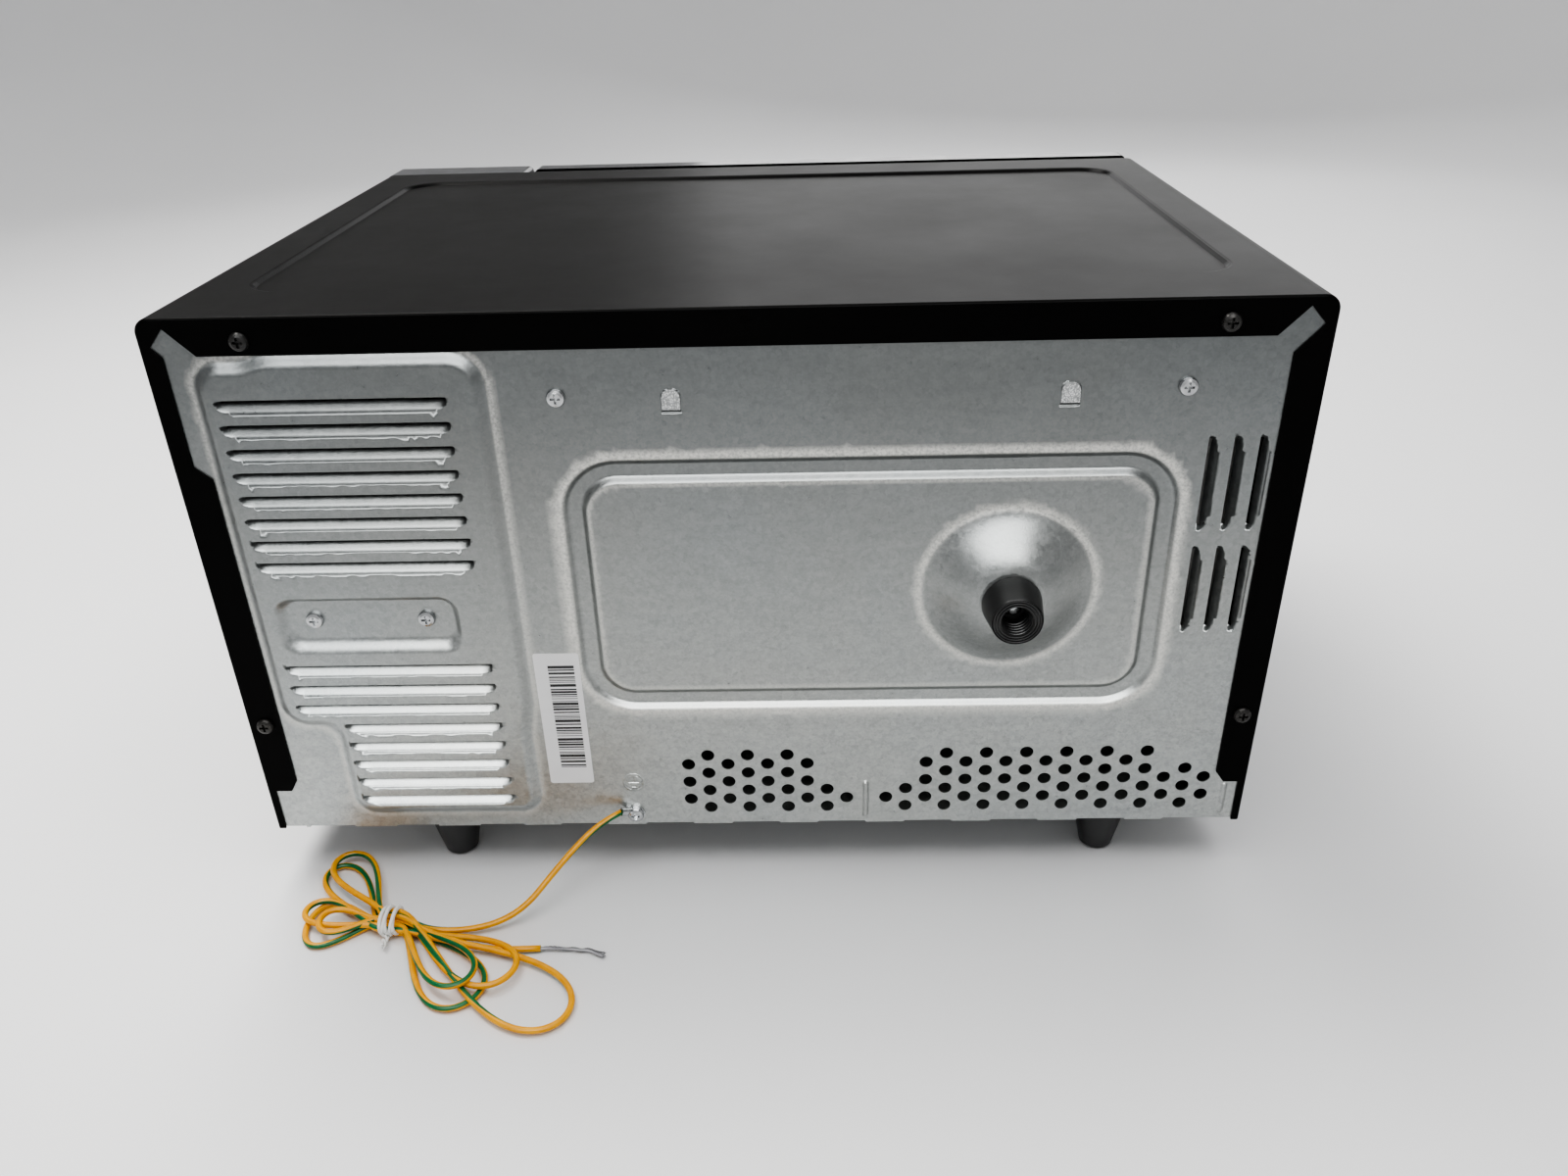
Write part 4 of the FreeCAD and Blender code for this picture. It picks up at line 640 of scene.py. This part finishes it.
def stretched(x, z):
    """How far the press has worked the metal: 1 along the rims of the ring, the bay and the cone."""
    into = -box_distance(x, z, RING, RING_ROUND)
    rims = [np.abs(into + 0.9) / 1.8, np.abs(into - RING_WIDTH - 0.3) / 0.8,
            np.abs(bay_distance(x, z) - 0.3) / 1.0,
            np.abs(np.hypot(x - CONE_AT[0], z - CONE_AT[1]) - CONE_FOOT - 0.3) / 1.7]
    share = (0.9, 0.5, 0.5, 0.8)
    return np.max([soft_step(1.5 - rim) * part for rim, part in zip(rims, share)], axis=0)


def grid_lines(low, high, bands, marks):
    """Grid lines with the spacing of the band that they are in, and a line at each mark."""
    lines, at = [low], low
    while at < high:
        step = next(pitch for edge, pitch in bands if at < edge)
        at = min(at + step, high)
        lines.append(at)
    marks = np.array(sorted(m for m in set(marks) if low < m < high))
    kept = [v for v in lines if v in (low, high) or np.abs(marks - v).min() > 0.3]
    return np.array(sorted(set(kept) | set(marks.tolist())))


def corners_of(cells):
    """The grid points that are a corner of at least one of the given cells."""
    points = np.zeros((cells.shape[0] + 1, cells.shape[1] + 1), bool)
    for rows in (slice(0, -1), slice(1, None)):
        for columns in (slice(0, -1), slice(1, None)):
            points[rows, columns] |= cells
    return points


def panel_sheet():
    """The outer face as a fine net with its slits, vents and outline cut, before it is thinned."""
    x_marks = [slit + off for slit, _, _ in SIDE_LOUVRES for off in (HAIR, -SIDE_SLIT - HAIR, -SIDE_WIDE)]
    x_marks += [key + off for key in KEYS for off in (-4.15, -3.75, 3.75, 4.15)]
    x_marks += [edge for left, right, _ in LOUVRES for edge in (left, right)]
    z_marks = [top + off for _, _, top in LOUVRES for off in (HAIR, -LOUVRE_SLIT - HAIR, -LOUVRE_TALL)]
    z_marks += [KEY_LOW + HAIR, KEY_LOW - 0.9, KEY_LOW - 1.5, KEY_LOW - 2.1, 1.0]
    xs = grid_lines(-PLATE_HALF, PLATE_HALF, NET_ACROSS, x_marks)
    zs = grid_lines(0.0, PLATE_TOP, NET_UP, z_marks)
    x, z = np.meshgrid(xs, zs)
    mid_x, mid_z = np.meshgrid((xs[1:] + xs[:-1]) / 2, (zs[1:] + zs[:-1]) / 2)
    keep = np.ones(mid_x.shape, bool)
    for left, right, top in LOUVRES:
        keep &= ~(between(mid_z, top - LOUVRE_SLIT - HAIR, top + HAIR)
                  & between(mid_x, left + LOUVRE_END, right - LOUVRE_END))
    for slit, low, top in SIDE_LOUVRES:
        keep &= ~(between(mid_x, slit - SIDE_SLIT - HAIR, slit + HAIR)
                  & between(mid_z, low + SIDE_END, top - SIDE_END))
    for key in KEYS:
        keep &= ~((np.abs(mid_x - key) < 3.75) & (mid_z < KEY_LOW + HAIR) & (mid_z > KEY_LOW - 0.9))
    tab = np.abs((mid_x - 19 + 20) % 40 - 20) < 9
    keep &= (mid_z > 1.0) | (tab & (np.abs(mid_x) < 212))
    corner_x, corner_z = PLATE_HALF - PLATE_ROUND, PLATE_TOP - PLATE_ROUND
    round_off = (np.hypot(np.abs(mid_x) - corner_x, mid_z - corner_z) > PLATE_ROUND)
    keep &= ~(round_off & (np.abs(mid_x) > corner_x) & (mid_z > corner_z))
    for vent_x, vent_z in vent_spots():
        inside = np.hypot(mid_x - vent_x, mid_z - vent_z) < VENT_RADIUS
        keep &= ~inside
        rim = corners_of(inside) & corners_of(~inside)
        gap = np.hypot(x - vent_x, z - vent_z)
        scale = np.where(rim, VENT_RADIUS / np.maximum(gap, 0.1), 1.0)
        x = np.where(rim, vent_x + (x - vent_x) * scale, x)
        z = np.where(rim, vent_z + (z - vent_z) * scale, z)
    columns = len(xs)
    number = np.arange(x.size).reshape(x.shape)
    corners = np.stack([number[:-1, :-1], number[:-1, 1:], number[1:, 1:], number[1:, :-1]], axis=-1)[keep]
    used, faces = np.unique(corners, return_inverse=True)
    flat_x, flat_z = x.ravel()[used], z.ravel()[used]
    verts = np.stack([flat_x, PLATE_Y + panel_height(flat_x, flat_z), flat_z + FOOT], axis=-1) * MM
    return verts, faces.reshape(-1, 4)[:, ::-1]


def thinned(verts, faces, share):
    """The same surface with a share of its triangles: most of the flat ones go."""
    mesh = bpy.data.meshes.new("net")
    mesh.from_pydata(verts.tolist(), [], faces.tolist())
    holder = bpy.data.objects.new("net", mesh)
    bpy.context.scene.collection.objects.link(holder)
    holder.modifiers.new("thin", "DECIMATE").ratio = share
    bpy.context.view_layer.update()
    less = bpy.data.meshes.new_from_object(holder.evaluated_get(bpy.context.evaluated_depsgraph_get()))
    points = np.empty(len(less.vertices) * 3)
    less.vertices.foreach_get("co", points)
    triangles = [tuple(face.vertices) for face in less.polygons]
    bpy.data.objects.remove(holder)
    bpy.data.meshes.remove(mesh)
    bpy.data.meshes.remove(less)
    return points.reshape(-1, 3), triangles


def stamped_panel():
    """The panel as one closed sheet, whose shading follows the pressed shape itself."""
    front, triangles = thinned(*panel_sheet(), NET_KEPT)
    count = len(front)
    verts = np.vstack([front, front - (0, PLATE_SHEET * MM, 0)])
    edges = {}
    for face in triangles:
        for a, b in zip(face, face[1:] + face[:1]):
            edges[(a, b)] = True
    rim = [(b, a, a + count, b + count) for a, b in edges if (b, a) not in edges]
    faces = triangles + [tuple(v + count for v in reversed(face)) for face in triangles] + rim
    panel = piece("stamped_rear_panel", verts, faces, "galvanised")
    x, z = front[:, 0] / MM, front[:, 2] / MM - FOOT
    tilt_x = (panel_height(x + HAIR / 2, z) - panel_height(x - HAIR / 2, z)) / HAIR
    tilt_z = (panel_height(x, z + HAIR / 2) - panel_height(x, z - HAIR / 2)) / HAIR
    outward = np.stack([-tilt_x, np.ones(count), -tilt_z], axis=-1)
    outward /= np.linalg.norm(outward, axis=1, keepdims=True)
    normals = []
    for face in panel.data.polygons:
        if min(face.vertices) >= count:
            normals += [tuple(-outward[v - count]) for v in face.vertices]
        elif max(face.vertices) < count:
            normals += [tuple(outward[v]) for v in face.vertices]
        else:
            normals += [tuple(face.normal)] * len(face.vertices)
    panel.data.normals_split_custom_set(normals)
    worked = np.tile(stretched(x, z), 2)
    panel.data.attributes.new("stretched", "FLOAT", "POINT").data.foreach_set("value", worked)
    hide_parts("rear_panel")


# ---- turned and printed rear pieces ----

def standoff():
    """The moulded wall spacer: a tapered tube with ridges round its mouth and down its bore."""
    low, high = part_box("rear_standoff")
    root = PLATE_Y + CONE_RISE
    tip = high[1] / MM - root
    outer = [(12.0, 0.02), (12.25, 0.4), (12.25, 1.0), (10.5, tip - 1.0), (10.3, tip - 0.3), (10.05, tip),
             (9.85, tip - 0.3)]
    ridges = []
    for k in range(3):
        crest = 9.35 - 1.1 * k
        ridges += [(crest + 0.4, tip - 0.7), (crest + 0.32, tip - 0.16), (crest, tip)]
        ridges += [(crest - 0.3, tip - 0.16), (crest - 0.4, tip - 0.7)]
    bore = [(6.5, tip - 0.7), (6.4, tip - 1.0)]
    for k in range(5):
        depth = tip - 1.2 - 1.6 * k
        bore += [(6.4 - 0.22 * k, depth), (6.1 - 0.22 * k, depth - 0.3)]
    profile = outer + ridges + bore + [(5.0, 3.0), (2.1, 3.0), (2.1, 0.02)]
    verts, faces = lathe(profile, (CONE_AT[0], root, CONE_AT[1] + FOOT))
    sleeve = sharpened(piece("rear_spacer", verts, faces, "black_plastic"))
    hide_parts("rear_standoff")
    head = [(0, 3.05), (3.5, 3.05), (3.5, 3.4), (3.0, 4.2), (1.8, 4.8), (0, 4.9)]
    verts, faces = lathe(head, (CONE_AT[0], root, CONE_AT[1] + FOOT), 32)
    sharpened(piece("spacer_screw", verts, faces, "zinc_screw"))


BAR_WIDTHS = (0.35, 0.7, 0.35, 1.05, 0.35, 0.7, 1.4)
BAR_GAPS = (0.45, 0.8, 0.45, 1.1, 0.5)


def key_tabs():
    """The rough coined faces of the two hanging slots, a hair proud of the panel."""
    sides, parts = 14, []
    half = KEY_HALF - 0.35
    for key in KEYS:
        outline = [(key + half, KEY_LOW + 0.25), (key + half, KEY_SPRING)]
        for k in range(1, sides):
            angle = math.pi * k / sides
            outline.append((key + half * math.cos(angle), KEY_SPRING + half * math.sin(angle)))
        outline += [(key - half, KEY_SPRING), (key - half, KEY_LOW + 0.25)]
        parts.append(prism([(x, z + FOOT) for x, z in outline], PLATE_Y + 0.5, PLATE_Y + 0.76))
    tabs = piece("key_slot_tabs", *gathered(parts), "galvanised", smooth=False)
    tabs.data.materials[0] = COINED_ZINC


def label():
    """The label and its printed bars, stacked along its length."""
    low, high = (corner / MM for corner in map(Vector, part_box("barcode_label")))
    paper = piece("paper_label", *prism(rounded(low, high, 1.2), low.y, high.y), "label_paper", smooth=False)
    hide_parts("barcode_label")
    bars = []
    at, number = low.z + 9.0, 0
    while at < high.z - 7.5:
        thick = BAR_WIDTHS[number * 5 % len(BAR_WIDTHS)]
        bars.append(bar((low.x + 2.6, low.x + 14.1), (high.y, high.y + 0.03), (at, at + thick)))
        at += thick + BAR_GAPS[number * 3 % len(BAR_GAPS)]
        number += 1
    piece("label_bars", *gathered(bars), "black_plastic", smooth=False)


# ---- the controls ----

FASCIA_Y = -173.7
DIAL_X = 181.0
DIALS = (("timer", 196.0, 21.0), ("power", 132.0, 18.0))
POWER_STEPS = 5
TIMER_MINUTES, MINUTE_TURN, POWER_TURN = 30, 10, 240
STEM_RADIUS, FLUTES = 3, 24
PRINT_RISE = 0.06


def dial(word, z, radius):
    """A fluted knob with a grip rib and a white pointer line, turning on its stem."""
    low, high = (corner / MM for corner in map(Vector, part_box(f"{word}_dial")))
    back = FASCIA_Y - 0.4
    depth = back - low.y
    rim = radius - 0.25
    stem = [(0, back - high.y), (STEM_RADIUS, back - high.y), (STEM_RADIUS, 0)]
    skirt = [(rim - 0.7, 0), (rim, 0.7), (rim, 2.5), (rim - 0.7, 3.1), (rim - 1.6, 3.4)]
    fluted = [(rim - 2.4, 4.2, 0.7), (rim - 3.2, depth - 3.4, 0.7), (rim - 3.9, depth - 2.2, 0.2)]
    dished = [(rim - 5.2, depth - 1.5), (rim - 7.0, depth - 1.7), (rim - 10, depth - 2.1), (0, depth - 2.2)]
    verts, faces = lathe(stem + skirt + fluted + dished, (DIAL_X, back, z), 144, -1, FLUTES)
    sharpened(piece(f"{word}_knob", verts, faces, "grey_plastic", f"{word}_dial"), 45)
    long = radius - 5.5
    verts, faces = bar((DIAL_X - 1.95, DIAL_X + 1.95), (low.y, back - 4), (z - long, z + long))
    bevelled(piece(f"{word}_grip", verts, faces, "grey_plastic", f"{word}_dial"), 1.1)
    verts, faces = bar((DIAL_X - 0.5, DIAL_X + 0.5), (low.y - 0.02, low.y + 0.4), (z + 2, z + long - 1.6))
    pointer = piece(f"{word}_pointer", verts, faces, "white_plastic", f"{word}_dial", smooth=False)
    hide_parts(f"{word}_dial")


def release_button():
    """The door button: a soft-edged pad with a shallow thumb hollow, on its flange and stem."""
    low, high = (corner / MM for corner in map(Vector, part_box("release_button")))
    flange, flange_front, flange_back = 2.0, 4.0, 6.2
    edge = Vector((flange, 0, flange))
    profile = [(0.0, flange_back), (0.0, 1.2), (0.3, 0.45), (0.9, 0.08), (1.7, 0.0), (2.4, 0.1), (3.1, 0.45),
               (3.8, 0.8), (4.4, 0.95)]
    verts, faces = [], []
    for inset, depth in profile:
        outline = rounded(low + edge, high - edge, 4.5, inset, 8)
        verts += [Vector((x, low.y + depth, z)) * MM for x, z in outline]
    count = len(verts) // len(profile)
    for i in range(len(profile) - 1):
        row = i * count
        faces += [(row + k, row + (k + 1) % count, row + count + (k + 1) % count, row + count + k)
                  for k in range(count)]
    faces.append(tuple(reversed(range(count))))
    faces.append(tuple(range(len(verts) - count, len(verts))))
    middle_x, middle_z = (low.x + high.x) / 2, (low.z + high.z) / 2
    plate = bar((low.x, high.x), (low.y + flange_front, low.y + flange_back), (low.z, high.z))
    stem = bar((middle_x - 6, middle_x + 6), (low.y + flange_back, high.y), (middle_z - 4, middle_z + 4))
    verts, faces = gathered([(verts, faces), plate, stem])
    pad = sharpened(piece("release_pad", verts, faces, "grey_plastic", "release_button"), 50)
    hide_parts("release_button")


def around(z, reach, degrees):
    """A place on the fascia at a dial's scale: degrees run clockwise from the top."""
    angle = math.radians(degrees)
    return DIAL_X + reach * math.sin(angle), z + reach * math.cos(angle)


def scales():
    """Printed scales: minutes round the timer, and growing dots round the power dial."""
    face = (FASCIA_Y - PRINT_RISE, FASCIA_Y + 0.05)
    marks = []
    (_, timer_z, timer_radius), (_, power_z, power_radius) = DIALS
    for minute in range(1, TIMER_MINUTES + 1):
        major = minute % 5 == 0
        x, z = around(timer_z, timer_radius + (3.6 if major else 3.1), MINUTE_TURN * minute)
        half_long, half_wide = (1.3, 0.3) if major else (0.8, 0.18)
        verts, faces = bar((-half_wide, half_wide), face, (-half_long, half_long))
        turn = Matrix.Rotation(math.radians(MINUTE_TURN * minute), 4, "Y")
        marks.append(([Vector((x, 0, z)) * MM + turn @ v for v in verts], faces))
    for step in range(POWER_STEPS):
        x, z = around(power_z, power_radius + 4.6, POWER_TURN * step / (POWER_STEPS - 1))
        size = 0.7 + 0.28 * step
        dot = [(0, 0), (size, 0), (size, PRINT_RISE), (0, PRINT_RISE)]
        marks.append(lathe(dot, (x, FASCIA_Y, z), 24, -1))
    for z, radius in ((timer_z, timer_radius), (power_z, power_radius)):
        low, high = z + radius + 3.2, z + radius + 6.8
        marks.append(bar((DIAL_X - 0.5, DIAL_X + 0.5), (FASCIA_Y, FASCIA_Y + 0.5), (low, high)))
    piece("printed_scales", *gathered(marks), "white_plastic", smooth=False)
    for minute in range(5, TIMER_MINUTES + 1, 5):
        figure(str(minute), *around(timer_z, timer_radius + 9.2, MINUTE_TURN * minute))


def figure(text, x, z, tall=4.4):
    """A printed number, centred on the fascia."""
    data = bpy.data.curves.new(f"figure_{text}", "FONT")
    data.body = text
    data.size = tall * MM
    data.align_x = "CENTER"
    data.align_y = "CENTER"
    data.extrude = PRINT_RISE / 2 * MM
    holder = bpy.data.objects.new(f"figure_{text}", data)
    bpy.context.scene.collection.objects.link(holder)
    bpy.context.view_layer.update()
    mesh = bpy.data.meshes.new_from_object(holder)
    centre = Vector((x, FASCIA_Y - PRINT_RISE / 2, z)) * MM
    verts = [centre + Vector((v.co.x, -v.co.z, v.co.y)) for v in mesh.vertices]
    faces = [tuple(face.vertices) for face in mesh.polygons]
    bpy.data.objects.remove(holder)
    piece(f"minutes_{text}", verts, faces, "white_plastic", smooth=False)


# ---- the earth wire ----

WIRE_THICK = 2.8
# From the crimp to the hank, in millimetres: the route of the CAD lead.
LEAD_ROUTE = [(60.8, 163.2, 35.4), (69.5, 167.2, 33.0), (80.5, 174.8, 25.8), (92.0, 185.0, 16.4),
              (101.5, 194.8, 8.4), (113.5, 201.2, 4.0), (129.0, 204.4, 2.6), (144.5, 204.6, 3.4)]
TIE_X, TIE_Y = 162.0, 200.5
# From the hank to the end of the insulation.
END_ROUTE = [(146.0, 207.0, 5.6), (132.0, 212.2, 4.6), (119.0, 215.6, 3.4), (106.0, 215.9, 2.4),
             (92.4, 214.7, 1.9)]
STRAND_ROUTE = [(93.2, 214.8, 1.9), (84.0, 214.2, 1.6), (76.0, 215.3, 1.5), (70.0, 215.4, 1.4),
                (63.8, 218.8, 2.2)]
STRANDS, STRAND_RADIUS = 7, 0.30
# Each turn is (reach, width, heading in degrees, lean, rise): lean moves its belly sideways.
LEFT_TURNS = [(35, 28, 3, 0.0, 1.8), (54, 18.5, -50, 0.0, 2.2), (28, 15.5, 6, 0.0, 6.0),
              (39, 15.5, -20, 0.1, 4.6), (52, 19, -54, 0.1, 5.0)]
RIGHT_TURNS = [(60, 27, 134, -0.1, 2.0), (64, 28, 149, 0.05, 4.9), (53, 20, 138, -0.2, 7.2),
               (98, 36, 148, -0.1, 2.2)]
TURN_POINTS = 16
# Each ring of the tie is (shift along the bundle, lean, swell).
TIE_RINGS = ((-2.8, 0.9, 0.0), (-1.3, -0.7, 0.5), (0.4, 1.2, 0.2), (1.9, -0.4, 0.6), (3.0, 0.8, 0.1))


def bundle_slot(number):
    """Where pass `number` runs through the tie: three rows of wires, each over the last."""
    row, place = divmod(number, 4)
    return TIE_Y + (place - 1.5) * 2.7 + (row % 2) * 0.7, 1.7 + row * 2.6


def turn_route(turn, leave, arrive):
    """A teardrop turn from one side of the tie back to it, from the slot `leave` to the slot `arrive`."""
    reach, width, heading, lean, rise = turn
    way = Vector((math.cos(math.radians(heading)), math.sin(math.radians(heading)), 0))
    across = Vector((-way.y, way.x, 0))
    route = []
    for k in range(2, TURN_POINTS - 1):
        angle = math.tau * k / TURN_POINTS
        out = (1 - math.cos(angle)) / 2
        belly = math.sin(angle) * out / 0.65
        start, end = Vector(leave), Vector(arrive)
        root = start.lerp(end, k / TURN_POINTS)
        point = root + way * reach * out + across * (width / 2) * (belly + lean * out)
        point.z = root.z + (rise - root.z) * out
        route.append(tuple(point))
    return route


def wire_route():
    """The whole wire: lead, five turns on one side of the tie with four on the other, and the end."""
    route = list(LEAD_ROUTE)
    right, left = TIE_X + 5, TIE_X - 5
    slots = [bundle_slot(number) for number in range(2 * len(LEFT_TURNS))]
    for k, turn in enumerate(LEFT_TURNS):
        out, back = slots[2 * k], slots[2 * k + 1]
        route += [(left, *out), (right, *out)]
        route += turn_route(turn, (right, *out), (right, *back))
        route += [(right, *back), (left, *back)]
        if k < len(RIGHT_TURNS):
            route += turn_route(RIGHT_TURNS[k], (left, *back), (left, *slots[2 * k + 2]))
    return route + END_ROUTE


def earth_wire():
    line = [p * MM for p in smooth_line("wire_route", wire_route(), 5)]
    verts, faces, uvs = tube(line, WIRE_THICK / 2 * MM, twist=6.0)
    wire = piece("earth_wire", verts, faces, "earth_wire")
    lay_uvs(wire, uvs)
    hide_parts("earth_wire_lead", "earth_wire_hank")
    length = sum((b - a).length for a, b in zip(line, line[1:]))
    return wire, line, length


def strands():
    """Seven tinned strands in an open twist that fray at their tips."""
    core = [p * MM for p in smooth_line("strand_route", STRAND_ROUTE, 12)]
    parts = []
    frames = carried_frames(core)
    for k in range(STRANDS):
        path = []
        for i, (point, (across, up)) in enumerate(zip(core, frames)):
            along = i / (len(core) - 1)
            angle = math.tau * (k / (STRANDS - 1) + along * 4.5)
            fray = max(0.0, along - 0.85) * 3.0
            off = 0.0 if k == STRANDS - 1 else 0.55 + 0.25 * math.sin(9 * along + k) + fray
            path.append(point + (across * math.cos(angle) + up * math.sin(angle)) * off * MM)
        lower = min(p.z for p in path) - STRAND_RADIUS * MM
        path = [p + Vector((0, 0, max(0.0, -lower))) for p in path]
        parts.append(tube(path, STRAND_RADIUS * MM, 8)[:2])
    tail = piece("tinned_strands", *gathered(parts), "bare_copper")
    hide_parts("bare_strands")
    return tail


def twist_tie():
    """A white tie wound round the bundle, its ends twisted together at the side."""
    parts = []
    for shift, lean, swell in TIE_RINGS:
        ring = []
        for k in range(49):
            angle = math.tau * k / 48
            y = TIE_Y + 0.3 + (6.9 + swell) * math.cos(angle)
            z = 5.55 + (4.05 + swell) * math.sin(angle)
            ring.append(Vector((TIE_X + shift + lean * math.sin(angle), y, z)) * MM)
        parts.append(tube(ring, 0.85 * MM, 10)[:2])
    for side in (0.0, math.pi):
        twist = []
        for k in range(16):
            angle = 0.55 * k + side
            twist.append(Vector((TIE_X + 0.5 + 0.9 * math.cos(angle), TIE_Y + 7.4 + 0.42 * k,
                                 3.2 + 0.9 * math.sin(angle))) * MM)
        parts.append(tube(twist, 0.6 * MM, 10)[:2])
    tie = piece("twist_tie", *gathered(parts), "white_tie")
    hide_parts("wire_tie")
    return tie


# ---- stage, light and camera ----

CAMERA_AT = Vector((-0.0300, 0.5938, 0.3877))
CAMERA_WAY = Vector((0.0255, -0.8772, -0.4794))
CAMERA_ROLL = -1.63
CAMERA_LENS = 27.21


def stage():
    """A pale round floor that sweeps up into a wall on all sides."""
    flat, bend, tall, sides = 2.0, 0.9, 2.6, 96
    profile = [(0.3, 0.0), (flat, 0.0)]
    for k in range(1, 17):
        angle = math.pi / 2 * k / 16
        profile.append((flat + bend * math.sin(angle), bend - bend * math.cos(angle)))
    profile.append((flat + bend, tall))
    verts = [Vector((0, 0, 0))]
    for radius, z in profile:
        for k in range(sides):
            angle = math.tau * k / sides
            verts.append(Vector((radius * math.cos(angle), radius * math.sin(angle), z)))
    faces = [(0, 1 + k, 1 + (k + 1) % sides) for k in range(sides)]
    for i in range(len(profile) - 1):
        row = 1 + i * sides
        faces += [(row + k, row + sides + k, row + sides + (k + 1) % sides, row + (k + 1) % sides)
                  for k in range(sides)]
    mesh = bpy.data.meshes.new("floor")
    mesh.from_pydata(verts, [], faces)
    mesh.polygons.foreach_set("use_smooth", [True] * len(mesh.polygons))
    floor = bpy.data.objects.new("floor", mesh)
    bpy.context.scene.collection.objects.link(floor)
    s = Shader("floor", (0.80, 0.80, 0.80), 0.55)
    s.colour(s.mix(s.ramp(s.noise(1.2, 3), 0.3, 0.7, 0.0, 1.0), (0.80, 0.80, 0.805), (0.76, 0.76, 0.765)))
    mesh.materials.append(s.material)


def area_light(name, at, aim, size, power, tint=(1, 1, 1)):
    data = bpy.data.lights.new(name, "AREA")
    data.shape = "RECTANGLE"
    data.size, data.size_y = size
    data.energy = power
    data.color = tint
    lamp = bpy.data.objects.new(name, data)
    lamp.location = at
    lamp.rotation_euler = (Vector(aim) - Vector(at)).to_track_quat("-Z", "Y").to_euler()
    bpy.context.scene.collection.objects.link(lamp)
    return lamp


def lights():
    """A high key from over the oven's left front, a broad overhead, and a reflection card behind."""
    world = bpy.data.worlds.new("studio")
    world.use_nodes = True
    background = world.node_tree.nodes["Background"]
    background.inputs["Color"].default_value = (0.93, 0.96, 1.0, 1.0)
    background.inputs["Strength"].default_value = 0.18
    bpy.context.scene.world = world
    bpy.context.scene.view_settings.look = "AgX - Medium High Contrast"
    area_light("key", (0.55, -0.45, 1.5), (0, 0.1, 0), (1.0, 0.7), 36, (1.0, 0.985, 0.96))
    area_light("overhead", (-0.1, 0.5, 1.9), (0, 0.2, 0), (2.0, 1.2), 25)
    card = area_light("reflection_card", (0.1, 1.75, 1.75), (0, 0.1, 0.1), (2.6, 0.9), 78)
    card.visible_diffuse = False
    area_light("front_fill", (-0.5, -1.7, 1.0), (0, 0, 0.1), (1.6, 1.2), 12)


def camera():
    data = bpy.data.cameras.new("camera")
    data.lens = CAMERA_LENS
    data.sensor_width = 36.0
    data.clip_start = 0.01
    right = CAMERA_WAY.cross(Vector((0, 0, 1))).normalized()
    upward = right.cross(CAMERA_WAY).normalized()
    roll = math.radians(CAMERA_ROLL)
    side = right * math.cos(roll) + upward * math.sin(roll)
    up = upward * math.cos(roll) - right * math.sin(roll)
    back = -CAMERA_WAY.normalized()
    basis = Matrix((side, up, back)).transposed().to_4x4()
    basis.translation = CAMERA_AT
    thing = bpy.data.objects.new("camera", data)
    thing.matrix_world = basis
    bpy.context.scene.collection.objects.link(thing)
    bpy.context.scene.camera = thing


dress_nodes()
stamped_panel()
standoff()
key_tabs()
label()
for dial_facts in DIALS:
    dial(*dial_facts)
scales()
release_button()
wire, wire_line, wire_length = earth_wire()
strands()
twist_tie()
stage()
lights()
camera()
bpy.context.view_layer.update()
